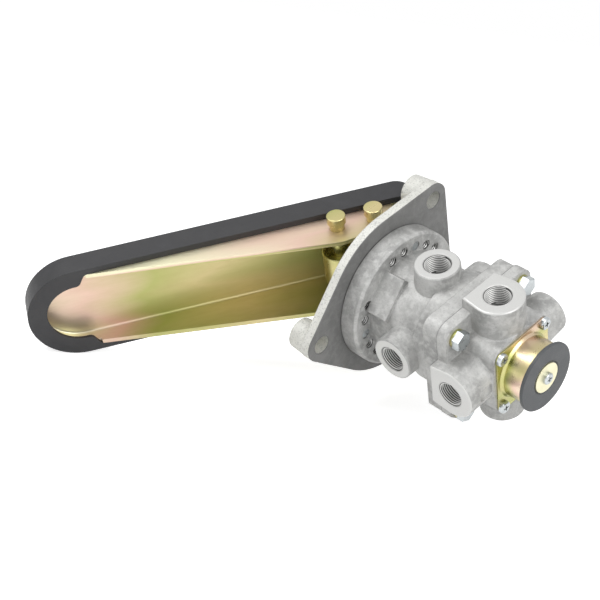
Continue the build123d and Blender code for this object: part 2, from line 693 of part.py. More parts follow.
# Socket plugs in the four ports on the far sides
plug_ports = [(angle, z, reach) for z, reach in ((UPPER_PORT_Z, UPPER_REACH), (LOWER_PORT_Z, LOWER_REACH))
              for angle in (180, 270)]
with BuildPart() as port_plugs:
    for angle, z, reach in plug_ports:
        face = side_plane(angle, z, reach)
        with BuildSketch(face) as blank:
            Circle(PORT_RADIUS - RUBBER_GAP)
        extrude(blank.sketch, amount=-PLUG_HEIGHT)
        with BuildSketch(face) as socket:
            RegularPolygon(PLUG_SOCKET_FLATS / 2, 6, major_radius=False)
        extrude(socket.sketch, amount=-PLUG_SOCKET_DEPTH, mode=Mode.SUBTRACT)
    chamfer(port_plugs.edges().filter_by(GeomType.CIRCLE), PLUG_CHAMFER)
port_plugs.part.label = "port_plugs"
export_step(port_plugs.part, "parts/port_plugs.step")

# Pressed exhaust cover: square plate with a drum and a ring of vents in its end
with BuildPart() as exhaust_cover:
    with BuildSketch(Plane.XY.offset(COVER_FACE_Z)) as square:
        RectangleRounded(COVER_SQUARE, COVER_SQUARE, COVER_CORNER)
    extrude(square.sketch, amount=COVER_SHEET)
    turned(
        [
            (0, COVER_FACE_Z),
            (DRUM_RADIUS + 1.5, COVER_FACE_Z),
            (DRUM_RADIUS, COVER_FACE_Z - 1.5),
            (DRUM_RADIUS, DRUM_END_Z - COVER_SHEET + 1),
            (DRUM_RADIUS - 1, DRUM_END_Z - COVER_SHEET),
            (0, DRUM_END_Z - COVER_SHEET),
        ]
    )
    turned(
        [
            (0, LOWER_END_Z),
            (DRUM_RADIUS - COVER_SHEET, LOWER_END_Z),
            (DRUM_RADIUS - COVER_SHEET, DRUM_END_Z),
            (0, DRUM_END_Z),
        ],
        Mode.SUBTRACT,
    )
    with BuildSketch(Plane.XY.offset(DRUM_END_Z - COVER_SHEET)) as vents:
        with PolarLocations(VENT_CIRCLE_RADIUS, VENT_COUNT):
            Circle(VENT_RADIUS)
    extrude(vents.sketch, amount=COVER_SHEET, mode=Mode.SUBTRACT)
    discs([(0, 0)], FLAP_SCREW_RADIUS + RUBBER_GAP, DRUM_END_Z - COVER_SHEET, DRUM_END_Z, Mode.SUBTRACT)
    discs(COVER_SCREW_PLACES, COVER_SCREW_RADIUS + BOLT_FIT, COVER_FACE_Z, LOWER_END_Z, Mode.SUBTRACT)
exhaust_cover.part.label = "exhaust_cover"
export_step(exhaust_cover.part, "parts/exhaust_cover.step")

# Cross-recessed screws of the exhaust cover
with BuildPart() as cover_screws:
    discs(COVER_SCREW_PLACES, COVER_SCREW_HEAD_RADIUS, COVER_FACE_Z - COVER_SCREW_HEAD, COVER_FACE_Z)
    fillet(cover_screws.edges().filter_by(GeomType.CIRCLE).group_by(Axis.Z)[0], COVER_SCREW_DOME)
    discs(COVER_SCREW_PLACES, COVER_SCREW_RADIUS, COVER_FACE_Z, LOWER_END_Z + COVER_SCREW_LENGTH)
    cross_recess(COVER_SCREW_PLACES, COVER_FACE_Z - COVER_SCREW_HEAD)
cover_screws.part.label = "cover_screws"
export_step(cover_screws.part, "parts/cover_screws.step")

# Rubber exhaust flap, dished in the middle for its washer
flap_bottom_z = FLAP_TOP_Z - FLAP_THICKNESS
with BuildPart() as exhaust_flap:
    turned(
        [
            (FLAP_SCREW_RADIUS + RUBBER_GAP, FLAP_TOP_Z),
            (FLAP_RADIUS - 0.5, FLAP_TOP_Z),
            (FLAP_RADIUS, FLAP_TOP_Z - 0.5),
            (FLAP_RADIUS, flap_bottom_z + 0.5),
            (FLAP_RADIUS - 0.5, flap_bottom_z),
            (FLAP_HUB_RADIUS, flap_bottom_z),
            (FLAP_HUB_RADIUS - FLAP_HUB_DEPTH, FLAP_HUB_Z),
            (FLAP_SCREW_RADIUS + RUBBER_GAP, FLAP_HUB_Z),
        ]
    )
exhaust_flap.part.label = "exhaust_flap"
export_step(exhaust_flap.part, "parts/exhaust_flap.step")

with BuildPart() as flap_washer:
    discs([(0, 0)], FLAP_WASHER_RADIUS, FLAP_HUB_Z - FLAP_WASHER_THICKNESS, FLAP_HUB_Z)
    discs([(0, 0)], FLAP_SCREW_RADIUS + BOLT_FIT, FLAP_HUB_Z - FLAP_WASHER_THICKNESS, FLAP_HUB_Z, Mode.SUBTRACT)
flap_washer.part.label = "flap_washer"
export_step(flap_washer.part, "parts/flap_washer.step")

flap_screw_face = FLAP_HUB_Z - FLAP_WASHER_THICKNESS
with BuildPart() as flap_screw:
    discs([(0, 0)], FLAP_SCREW_HEAD_RADIUS, flap_screw_face - FLAP_SCREW_HEAD, flap_screw_face)
    fillet(flap_screw.edges().filter_by(GeomType.CIRCLE).group_by(Axis.Z)[0], FLAP_SCREW_DOME)
    discs([(0, 0)], FLAP_SCREW_RADIUS, flap_screw_face, flap_screw_face + FLAP_SCREW_LENGTH)
    cross_recess([(0, 0)], flap_screw_face - FLAP_SCREW_HEAD)
flap_screw.part.label = "flap_screw"
export_step(flap_screw.part, "parts/flap_screw.step")

# Hinge pin in the plate's lugs and its clip
with BuildPart() as fulcrum_pin:
    headed_pin(FULCRUM_Y, FULCRUM_Z)
fulcrum_pin.part.label = "fulcrum_pin"
export_step(fulcrum_pin.part, "parts/fulcrum_pin.step")

with BuildPart() as fulcrum_pin_clip:
    pin_clip(FULCRUM_Y, FULCRUM_Z)
fulcrum_pin_clip.part.label = "fulcrum_pin_clip"
export_step(fulcrum_pin_clip.part, "parts/fulcrum_pin_clip.step")

# Pressed steel treadle: shallow pan with a round toe and two tapering side flanges
flange_plane = Plane(
    origin=(TREADLE_HALF_WIDTH - SHEET, FULCRUM_Y, FULCRUM_Z),
    x_dir=TREADLE_PLANE.y_dir,
    z_dir=(1, 0, 0),
)
with BuildPart() as treadle_channel:
    pan_solid(TREADLE_HALF_WIDTH, HEEL_END, HEEL_CORNER, RIM_BOTTOM, SHEET_TOP)
    fillet(treadle_channel.faces().sort_by(TREADLE_UP)[-1].edges(), BEND_RADIUS)
    pan_solid(TREADLE_HALF_WIDTH - SHEET, HEEL_END + SHEET, HEEL_CORNER - SHEET, RIM_BOTTOM, WEB_UNDERSIDE,
              Mode.SUBTRACT)
    fillet(treadle_channel.faces().filter_by(GeomType.PLANE).sort_by(TREADLE_UP)[-2].edges(), INNER_BEND)
    with BuildSketch(flange_plane) as flange:
        Circle(FULCRUM_LOBE)
        with Locations((PIN_SPACING, 0)):
            Circle(ROLLER_LOBE)
        Polygon((FLANGE_HEEL, RIM_BOTTOM + 2), (FLANGE_TOE, RIM_BOTTOM + 2), (FLANGE_TOE, FLANGE_TOE_HEIGHT),
                align=None)
        make_hull()
    extrude(flange.sketch, amount=SHEET)
    extrude(flange.sketch.mirror(Plane.YZ), amount=-SHEET, dir=(1, 0, 0))
    pin_bores([(FULCRUM_Y, FULCRUM_Z), (ROLLER_Y, ROLLER_Z)], PIN_RADIUS + RUN_FIT)
treadle_channel.part.label = "treadle_channel"
export_step(treadle_channel.part, "parts/treadle_channel.step")

# Moulded rubber cover that hooks under the rim of the pan
tread_grooves = [(0, TREAD_PITCH * step) for step in range(TREAD_COUNT)]
mouth_half = TREADLE_HALF_WIDTH + RUBBER_GAP
with BuildPart() as treadle_cover:
    pan_solid(TREADLE_HALF_WIDTH + COVER_SIDE, HEEL_END - COVER_SIDE, HEEL_CORNER + COVER_SIDE,
              COVER_BOTTOM, SHEET_TOP + COVER_TOP)
    fillet(treadle_cover.faces().sort_by(TREADLE_UP)[-1].edges(), COVER_EDGE)
    pan_solid(TREADLE_HALF_WIDTH + RUBBER_GAP, HEEL_END - RUBBER_GAP, HEEL_CORNER + RUBBER_GAP,
              RIM_BOTTOM - RUBBER_GAP, SHEET_TOP + RUBBER_GAP, Mode.SUBTRACT)
    with BuildSketch(TREADLE_PLANE.offset(COVER_BOTTOM)) as mouth:
        Polygon(
            (-mouth_half, LIP_HEEL),
            (mouth_half, LIP_HEEL),
            (mouth_half, LIP_SIDE_TOE),
            (TOE_LIP_RADIUS - INNER_BEND, LIP_SIDE_TOE + LIP_SLANT),
            (INNER_BEND - TOE_LIP_RADIUS, LIP_SIDE_TOE + LIP_SLANT),
            (-mouth_half, LIP_SIDE_TOE),
            align=None,
        )
        with Locations((0, TOE_CENTRE)):
            Circle(TOE_LIP_RADIUS)
        mouth_rows = mouth.vertices().group_by(Axis.Y)
        fillet(mouth_rows[1] + mouth_rows[2], LIP_CORNER)
    extrude(mouth.sketch, amount=LIP_THICKNESS, mode=Mode.SUBTRACT)
    with BuildSketch(TREADLE_PLANE.offset(SHEET_TOP + COVER_TOP)) as tread:
        with Locations(*tread_grooves):
            SlotOverall(TREAD_GROOVE_LENGTH, TREAD_GROOVE_WIDTH)
    extrude(tread.sketch, amount=-TREAD_GROOVE_DEPTH, mode=Mode.SUBTRACT)
treadle_cover.part.label = "treadle_cover"
export_step(treadle_cover.part, "parts/treadle_cover.step")

with BuildPart() as roller_pin:
    headed_pin(ROLLER_Y, ROLLER_Z)
roller_pin.part.label = "roller_pin"
export_step(roller_pin.part, "parts/roller_pin.step")

with BuildPart() as roller_pin_clip:
    pin_clip(ROLLER_Y, ROLLER_Z)
roller_pin_clip.part.label = "roller_pin_clip"
export_step(roller_pin_clip.part, "parts/roller_pin_clip.step")

# Roller that presses the plunger, dished at both ends
with BuildPart() as treadle_roller:
    with BuildSketch(Plane.YZ.offset(-ROLLER_HALF_LENGTH)) as tyre:
        with Locations((ROLLER_Y, ROLLER_Z)):
            Circle(ROLLER_RADIUS)
    extrude(tyre.sketch, amount=2 * ROLLER_HALF_LENGTH)
    chamfer(treadle_roller.edges().filter_by(GeomType.CIRCLE), EDGE_BREAK)
    for side in (-1, 1):
        with BuildSketch(Plane.YZ.offset(side * ROLLER_HALF_LENGTH)) as dish:
            with Locations((ROLLER_Y, ROLLER_Z)):
                Circle(ROLLER_DISH_RADIUS)
        extrude(dish.sketch, amount=-side * ROLLER_DISH_DEPTH, mode=Mode.SUBTRACT)
    pin_bores([(ROLLER_Y, ROLLER_Z)], PIN_RADIUS + RUN_FIT)
treadle_roller.part.label = "treadle_roller"
export_step(treadle_roller.part, "parts/treadle_roller.step")

# Plunger in its guide, with the spring seat at its foot
groove_top = PLUNGER_TOP_Z - 3.5
plunger_neck = PLUNGER_RADIUS - PLUNGER_GROOVE_DEPTH
with BuildPart() as plunger:
    turned(
        [
            (0, PLUNGER_TOP_Z),
            (PLUNGER_RADIUS - 1, PLUNGER_TOP_Z),
            (PLUNGER_RADIUS, PLUNGER_TOP_Z - 1),
            (PLUNGER_RADIUS, groove_top),
            (plunger_neck, groove_top),
            (plunger_neck, groove_top - 2),
            (PLUNGER_RADIUS, groove_top - 2),
            (PLUNGER_RADIUS, SEAT_TOP_Z),
            (0, SEAT_TOP_Z),
        ]
    )
plunger.part.label = "plunger"
export_step(plunger.part, "parts/plunger.step")

seat_bottom_z = SEAT_TOP_Z - SEAT_THICKNESS
with BuildPart() as spring_seat:
    turned(
        [
            (0, SEAT_TOP_Z),
            (SEAT_RADIUS, SEAT_TOP_Z),
            (SEAT_RADIUS, seat_bottom_z),
            (RUBBER_SPRING_BORE - 1, seat_bottom_z),
            (RUBBER_SPRING_BORE - 1.5, seat_bottom_z - 3),
            (0, seat_bottom_z - 3),
        ]
    )
spring_seat.part.label = "spring_seat"
export_step(spring_seat.part, "parts/spring_seat.step")

# Bellows boot between the guide and the plunger
boot_low = GUIDE_HEIGHT - 5
boot_high = groove_top
boot_fold = (boot_high - boot_low - 4) / BOOT_FOLDS
boot_inner = []
boot_outer = []
for step in range(BOOT_FOLDS * 2 + 1):
    fold_z = boot_low + 2 + boot_fold * step / 2
    shrink = BOOT_TAPER * max(0, fold_z - GUIDE_HEIGHT) / (boot_high - GUIDE_HEIGHT)
    crest = BOOT_CREST * (step % 2)
    boot_inner.append((GUIDE_RADIUS + 0.2 - shrink + crest, fold_z))
    boot_outer.append((GUIDE_RADIUS + 0.2 + BOOT_WALL - shrink + crest, fold_z))
with BuildPart() as plunger_boot:
    turned(
        [(GUIDE_RADIUS - GUIDE_GROOVE_DEPTH + RUBBER_GAP, boot_low), (GUIDE_RADIUS + BOOT_WALL + 0.6, boot_low)]
        + boot_outer
        + [
            (PLUNGER_RADIUS + BOOT_WALL, boot_high),
            (plunger_neck + RUBBER_GAP, boot_high),
            (plunger_neck + RUBBER_GAP, boot_high - 2 + RUBBER_GAP),
            (PLUNGER_RADIUS + RUN_FIT, boot_high - 2 + RUBBER_GAP),
        ]
        + boot_inner[::-1]
        + [(GUIDE_RADIUS - GUIDE_GROOVE_DEPTH + RUBBER_GAP, boot_low + 2 - RUBBER_GAP)]
    )
plunger_boot.part.label = "plunger_boot"
export_step(plunger_boot.part, "parts/plunger_boot.step")

# Rubber graduating spring between the seat and the piston
with BuildPart() as rubber_spring:
    spring_top = seat_bottom_z - RUBBER_GAP
    spring_foot = PISTON_FLOOR_Z + RUBBER_GAP
    discs([(0, 0)], RUBBER_SPRING_RADIUS, spring_foot, spring_top)
    discs([(0, 0)], RUBBER_SPRING_BORE, spring_foot, spring_top, Mode.SUBTRACT)
rubber_spring.part.label = "rubber_spring"
export_step(rubber_spring.part, "parts/rubber_spring.step")

# Primary piston: cup with a ring groove and the hollow stem that closes the exhaust
piston_skirt = PISTON_RADIUS - SLIDE_FIT
upper_stem_end = UPPER_VALVE_Z + STEM_GAP + SEAT_GAP
piston_ring_z = (PISTON_TOP_Z + PISTON_BOTTOM_Z) / 2
with BuildPart() as primary_piston:
    turned(
        [
            (0, PISTON_FLOOR_Z),
            (PISTON_CUP_RADIUS, PISTON_FLOOR_Z),
            (PISTON_CUP_RADIUS, PISTON_TOP_Z),
            (piston_skirt, PISTON_TOP_Z),
            (piston_skirt, PISTON_BOTTOM_Z),
            (STEM_RADIUS, PISTON_BOTTOM_Z),
            (STEM_RADIUS, upper_stem_end),
            (STEM_BORE, upper_stem_end),
            (STEM_BORE, PISTON_BOTTOM_Z),
            (0, PISTON_BOTTOM_Z),
        ]
    )
    turned(
        [
            (piston_skirt - 2 * RING_SECTION, piston_ring_z + RING_SECTION + 0.1),
            (PISTON_RADIUS, piston_ring_z + RING_SECTION + 0.1),
            (PISTON_RADIUS, piston_ring_z - RING_SECTION - 0.1),
            (piston_skirt - 2 * RING_SECTION, piston_ring_z - RING_SECTION - 0.1),
        ],
        Mode.SUBTRACT,
    )
primary_piston.part.label = "primary_piston"
export_step(primary_piston.part, "parts/primary_piston.step")

with BuildPart() as primary_piston_ring:
    seal_ring(PISTON_RADIUS - RUBBER_GAP - RING_SECTION, piston_ring_z)
primary_piston_ring.part.label = "primary_piston_ring"
export_step(primary_piston_ring.part, "parts/primary_piston_ring.step")

with BuildPart() as piston_return_spring:
    coil_spring(PISTON_CUP_RADIUS, PISTON_SHELF_Z + RUBBER_GAP, PISTON_BOTTOM_Z - RUBBER_GAP, 3)
piston_return_spring.part.label = "piston_return_spring"
export_step(piston_return_spring.part, "parts/piston_return_spring.step")

# Primary valve group in the upper body
with BuildPart() as primary_valve:
    valve_poppet(UPPER_VALVE_Z, UPPER_TUBE_END_Z)
primary_valve.part.label = "primary_valve"
export_step(primary_valve.part, "parts/primary_valve.step")

with BuildPart() as primary_valve_spring:
    coil_spring(VALVE_TUBE_RADIUS + VALVE_SPRING_ROOM, UPPER_RETAINER_Z + RUBBER_GAP,
                UPPER_VALVE_Z - VALVE_THICKNESS - RUBBER_GAP, 3)
primary_valve_spring.part.label = "primary_valve_spring"
export_step(primary_valve_spring.part, "parts/primary_valve_spring.step")

with BuildPart() as primary_retainer:
    retainer(UPPER_RETAINER_Z)
primary_retainer.part.label = "primary_retainer"
export_step(primary_retainer.part, "parts/primary_retainer.step")

with BuildPart() as primary_snap_ring:
    snap_ring(UPPER_RETAINER_Z - RETAINER_THICKNESS - 0.05)
primary_snap_ring.part.label = "primary_snap_ring"
export_step(primary_snap_ring.part, "parts/primary_snap_ring.step")

# Relay piston with its ring and return spring
relay_skirt = RELAY_RADIUS - SLIDE_FIT
relay_stem_end = LOWER_VALVE_Z + STEM_GAP + SEAT_GAP
relay_ring_z = (RELAY_TOP_Z + RELAY_BOTTOM_Z) / 2
with BuildPart() as relay_piston:
    turned(
        [
            (STEM_BORE, RELAY_TOP_Z),
            (relay_skirt, RELAY_TOP_Z),
            (relay_skirt, RELAY_BOTTOM_Z),
            (STEM_RADIUS, RELAY_BOTTOM_Z),
            (STEM_RADIUS, relay_stem_end),
            (STEM_BORE, relay_stem_end),
        ]
    )
    turned(
        [
            (relay_skirt - 2 * RING_SECTION, relay_ring_z + RING_SECTION + 0.1),
            (RELAY_RADIUS, relay_ring_z + RING_SECTION + 0.1),
            (RELAY_RADIUS, relay_ring_z - RING_SECTION - 0.1),
            (relay_skirt - 2 * RING_SECTION, relay_ring_z - RING_SECTION - 0.1),
        ],
        Mode.SUBTRACT,
    )
relay_piston.part.label = "relay_piston"
export_step(relay_piston.part, "parts/relay_piston.step")

with BuildPart() as relay_piston_ring:
    seal_ring(RELAY_RADIUS - RUBBER_GAP - RING_SECTION, relay_ring_z)
relay_piston_ring.part.label = "relay_piston_ring"
export_step(relay_piston_ring.part, "parts/relay_piston_ring.step")

with BuildPart() as relay_spring:
    coil_spring(RELAY_RADIUS - RELAY_SPRING_ROOM, RELAY_SHELF_Z + RUBBER_GAP, RELAY_BOTTOM_Z - RUBBER_GAP, 3)
relay_spring.part.label = "relay_spring"
export_step(relay_spring.part, "parts/relay_spring.step")

# Secondary valve group in the lower body
with BuildPart() as secondary_valve:
    valve_poppet(LOWER_VALVE_Z, LOWER_TUBE_END_Z)
secondary_valve.part.label = "secondary_valve"
export_step(secondary_valve.part, "parts/secondary_valve.step")

with BuildPart() as secondary_valve_spring:
    coil_spring(VALVE_TUBE_RADIUS + VALVE_SPRING_ROOM, LOWER_RETAINER_Z + RUBBER_GAP,
                LOWER_VALVE_Z - VALVE_THICKNESS - RUBBER_GAP, 3)
secondary_valve_spring.part.label = "secondary_valve_spring"
export_step(secondary_valve_spring.part, "parts/secondary_valve_spring.step")

with BuildPart() as secondary_retainer:
    retainer(LOWER_RETAINER_Z)
secondary_retainer.part.label = "secondary_retainer"
export_step(secondary_retainer.part, "parts/secondary_retainer.step")

with BuildPart() as secondary_snap_ring:
    snap_ring(LOWER_RETAINER_Z - RETAINER_THICKNESS - 0.05)
secondary_snap_ring.part.label = "secondary_snap_ring"
export_step(secondary_snap_ring.part, "parts/secondary_snap_ring.step")
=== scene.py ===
import math

import bmesh
import bpy
from bpy.props import FloatProperty, FloatVectorProperty, IntProperty, PointerProperty
from mathutils import Matrix, Vector


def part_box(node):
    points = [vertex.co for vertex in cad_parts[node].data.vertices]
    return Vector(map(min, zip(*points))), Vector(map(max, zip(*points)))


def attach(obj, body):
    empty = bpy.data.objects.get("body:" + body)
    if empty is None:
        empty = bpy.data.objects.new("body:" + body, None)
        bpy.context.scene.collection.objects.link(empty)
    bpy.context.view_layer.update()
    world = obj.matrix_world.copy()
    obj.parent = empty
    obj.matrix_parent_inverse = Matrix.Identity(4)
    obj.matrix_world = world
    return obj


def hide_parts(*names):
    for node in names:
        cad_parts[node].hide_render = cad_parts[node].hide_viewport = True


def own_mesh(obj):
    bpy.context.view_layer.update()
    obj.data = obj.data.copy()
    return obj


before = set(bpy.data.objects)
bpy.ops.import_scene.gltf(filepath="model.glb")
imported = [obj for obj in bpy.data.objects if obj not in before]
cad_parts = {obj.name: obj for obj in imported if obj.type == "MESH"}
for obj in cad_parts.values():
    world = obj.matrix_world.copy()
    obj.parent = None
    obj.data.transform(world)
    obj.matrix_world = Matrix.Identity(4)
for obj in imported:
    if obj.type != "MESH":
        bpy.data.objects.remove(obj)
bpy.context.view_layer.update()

bl_info = {
    "name": "Treadle brake valve",
    "version": (1, 0, 0),
    "blender": (4, 5, 0),
    "location": "View3D > Sidebar > Brake Valve",
    "description": "Finishes, threads, rubber parts and studio of a treadle brake valve",
    "category": "Object",
}

# CAD nodes by the finish that they take
CASTINGS = ("mounting_plate", "upper_body", "lower_body")
TURNED_PARTS = ("primary_piston", "relay_piston", "spring_seat", "primary_retainer", "secondary_retainer")
TREADLE_ZINC = ("treadle_channel",)
YELLOW_ZINC = ("fulcrum_pin", "fulcrum_pin_clip", "roller_pin", "roller_pin_clip", "treadle_roller",
               "body_lock_washers")
COVER_ZINC = ("exhaust_cover",)
WASHER_ZINC = ("flap_washer",)
BRIGHT_ZINC = ("plate_screws", "body_bolts", "port_plugs", "cover_screws", "flap_screw")
GROUND_STEEL = ("plunger", "primary_snap_ring", "secondary_snap_ring")
BRASS_PARTS = ("primary_valve", "secondary_valve")
RUBBER_PARTS = ("treadle_cover", "stop_button", "body_seal_ring", "primary_piston_ring",
                "relay_piston_ring")
FLAP_RUBBER = ("exhaust_flap",)

# Turned and ground metals: colour and roughness
METALS = {
    "turned_aluminium": ((0.72, 0.72, 0.71), 0.30),
    "ground_steel": ((0.56, 0.56, 0.57), 0.26),
    "turned_brass": ((0.72, 0.58, 0.30), 0.28),
    "spring_wire": ((0.42, 0.42, 0.43), 0.30),
}

# Yellow chromate of the treadle: spread and start of the tones, roughness and metallic share
TREADLE_TONES = (0.9, 0.12, 0.40, 0.75)

# Yellow chromate elsewhere: the nodes that take it, and the same four values
CHROMATES = {
    "yellow_zinc": (YELLOW_ZINC, 1.0, 0.44, 0.30, 0.95),
    "cover_zinc": (COVER_ZINC, 2.0, 0.72, 0.30, 0.95),
    "washer_zinc": (WASHER_ZINC, 0.3, 1.1, 0.36, 0.8),
}

# Tones of the treadle: slope of its web in degrees, drift along it, width and strength of the painted light
# on its near side
TREADLE_SLOPE = 32.4
TREADLE_DRIFT = 0.85
SIDE_PAINTED_LIGHT_WIDTH = 0.004
SIDE_PAINTED_LIGHT = 0.60

# Near side for a piece that takes no painted light on one side
NOWHERE = -1.0

# Edges that fold by more than this angle, in radians, stay sharp
FOLD_ANGLE = 0.7

# Coil springs: joint that closes each one and how far it moves, in metres
SPRINGS = {
    "piston_return_spring": ("primary_piston_slide", 0.0031),
    "primary_valve_spring": ("primary_valve_slide", 0.0021),
    "relay_spring": ("relay_piston_slide", 0.0025),
    "secondary_valve_spring": ("secondary_valve_slide", 0.0015),
}

# Coil springs: wire radius, turns, steps to a turn and sides of the wire
SPRING_WIRE = 0.0008
SPRING_TURNS = 3.0
SPRING_STEPS = 40
WIRE_SIDES = 12

# Heights of the two rows of ports, and of the change between them with its half width
UPPER_PORTS = -0.0418
LOWER_PORTS = -0.0880
BETWEEN_PORTS = -0.0650
PORT_STEP = 0.0001

# Distance of the port mouths from the valve axis
UPPER_MOUTH = 0.0446
LOWER_MOUTH = 0.0454

# Cut port faces: how far inside the upper mouths they start, upper limit, tool marks to the metre
FACE_DEPTH = 0.00005
PORT_FACES_TOP = -0.0255
TOOL_MARKS = 5200.0

# Painted shade of the gaps at the plate and between the bodies, as dark lines: half widths, and multiple at
# which they fade out
PLATE_JOINT_SHADE = 0.0004
BODY_JOINT_SHADE = 0.00022
JOINT_SHADE_FADE = 1.6

# Heights between which the bodies' colour turns into the plate's paler colour, which is painted light
PLATE_BLEND = (0.0002, 0.0006)

# Radial ports on the two bodies that stay open, as direction, mouth distance and height
OPEN_PORTS = (
    ((-1, 0, 0), UPPER_MOUTH, UPPER_PORTS),
    ((0, 1, 0), UPPER_MOUTH, UPPER_PORTS),
    ((-1, 0, 0), LOWER_MOUTH, LOWER_PORTS),
    ((0, 1, 0), LOWER_MOUTH, LOWER_PORTS),
)

# Threads: margin at their ends without a ridge, distance at which points join, and sides
THREAD_END = 0.000001
THREAD_MERGE = 0.000002
PORT_SIDES = 64
HOLE_SIDES = 32

# Tapped holes round the upper body's flange, in steps from the pad, and height of their mouths
RING_RADIUS = 0.0363
RING_STEPS = 22
RING_START = 45.0
RING_SKIPPED = (0, 1, 4, 12, 19)
RING_MOUTH = -0.0125

# Bellows boot: room round the plunger, foot from the outer side, collar from the neck
BOOT_ROOM = 0.0002
BOOT_INSET = 0.0026
BOOT_COLLAR = 0.0016

# Bellows boot: half widths of the bead and of its foot, chamfer of the collar, height of both ends
BOOT_BEAD = 0.0012
BOOT_BEAD_FOOT = 0.0008
BOOT_CHAMFER = 0.0004
BOOT_LIP = 0.0020

# Bellows boot: half depth of the folds, share below the taper, steps to a fold and sides
BOOT_FOLD = 0.0009
BOOT_STRAIGHT = 0.35
BOOT_STEPS = 16
BOOT_SIDES = 72

# Barrel shape of the rubber spring: bore radius, swell of the side, steps of its height and sides
BARREL_BORE = 0.0050
BARREL_SWELL = 0.0012
BARREL_STEPS = 12
BARREL_SIDES = 64

# Camera: right, up and backward directions, place, lens, sensor and nearest distance
CAMERA_RIGHT = (0.1127, -0.7005, -0.7047)
CAMERA_UP = (-0.7346, -0.5363, 0.4156)
CAMERA_BACK = (-0.6691, 0.4708, -0.5750)
CAMERA_PLACE = (-0.690594, 0.527374, -0.554459)
CAMERA_LENS = 99.17
CAMERA_SENSOR = 36.0
CAMERA_CLIP = 0.01

# The floor that the valve lies on: its up direction, gap below the valve and glow where it is seen
FLOOR_UP = (-0.875, -0.465, 0.137)
FLOOR_GAP = 0.0005
FLOOR_GLOW = 0.75

# Lamps: point that they face, offsets from it along floor up, camera right and camera back, widths
LAMP_TARGET = (0.0, 0.055, 0.02)
KEY_OFFSET = (0.80, -0.45, 0.20)
KEY_WIDTH = 0.5
FILL_OFFSET = (0.25, 0.65, 0.90)
FILL_WIDTH = 0.8


class CastingFinish(bpy.types.PropertyGroup):
    colour: FloatVectorProperty(name="Casting colour", description="Colour of the cast aluminium skin",
                                subtype="COLOR", size=3, default=(0.44, 0.44, 0.43), min=0, max=1)
    # Plate colour: paler than the bodies as painted light, in place of light on the plate's underside
    plate: FloatVectorProperty(name="Plate colour", description="Colour of the blasted mounting plate",
                               subtype="COLOR", size=3, default=(0.80, 0.80, 0.74), min=0, max=1)
    machined: FloatVectorProperty(name="Machined colour", description="Colour of the cut port faces",
                                  subtype="COLOR", size=3, default=(0.62, 0.62, 0.605), min=0, max=1)
    grain: FloatProperty(name="Grain size", description="Size of the blasted grain on the skin",
                         default=0.0011, unit="LENGTH", min=0.0001, max=0.01)
    edge: FloatProperty(name="Edge radius", description="Rounding of cast edges and inner corners",
                        default=0.0009, unit="LENGTH", min=0.0, max=0.01)
    seam: FloatProperty(name="Seam height", description="Height of the joint between the two bodies",
                        default=-0.0733, unit="LENGTH", min=-0.2, max=0.2)


class PlatingFinish(bpy.types.PropertyGroup):
    brown: FloatVectorProperty(name="Brown tone", description="Thick places of the yellow chromate",
                               subtype="COLOR", size=3, default=(0.31, 0.25, 0.09), min=0, max=1)
    green: FloatVectorProperty(name="Green tone", description="Greenish tone of the yellow chromate",
                               subtype="COLOR", size=3, default=(0.42, 0.43, 0.16), min=0, max=1)
    gold: FloatVectorProperty(name="Gold tone", description="Main tone of the yellow chromate",
                              subtype="COLOR", size=3, default=(0.62, 0.53, 0.28), min=0, max=1)
    rose: FloatVectorProperty(name="Rose tone", description="Reddish tone of the yellow chromate",
                              subtype="COLOR", size=3, default=(0.68, 0.49, 0.40), min=0, max=1)
    pale: FloatVectorProperty(name="Pale tone", description="Thin places of the yellow chromate",
                              subtype="COLOR", size=3, default=(0.74, 0.71, 0.50), min=0, max=1)
    length: FloatProperty(name="Drift length", description="Length of the tones' drift along the treadle",
                          default=0.235, unit="LENGTH", min=0.01, max=1.0)
    clear: FloatVectorProperty(name="Clear zinc", description="Colour of the bright zinc fasteners",
                               subtype="COLOR", size=3, default=(0.50, 0.53, 0.54), min=0, max=1)


class RubberFinish(bpy.types.PropertyGroup):
    colour: FloatVectorProperty(name="Rubber colour", description="Colour of the moulded rubber",
                                subtype="COLOR", size=3, default=(0.018, 0.018, 0.020), min=0, max=1)
    flap: FloatVectorProperty(name="Flap colour", description="Colour of the exhaust flap",
                              subtype="COLOR", size=3, default=(0.062, 0.066, 0.070), min=0, max=1)
    folds: IntProperty(name="Boot folds", description="Folds of the plunger boot", default=5, min=2, max=9)
    wall: FloatProperty(name="Boot wall", description="Wall of the plunger boot",
                        default=0.0010, unit="LENGTH", min=0.0004, max=0.003)


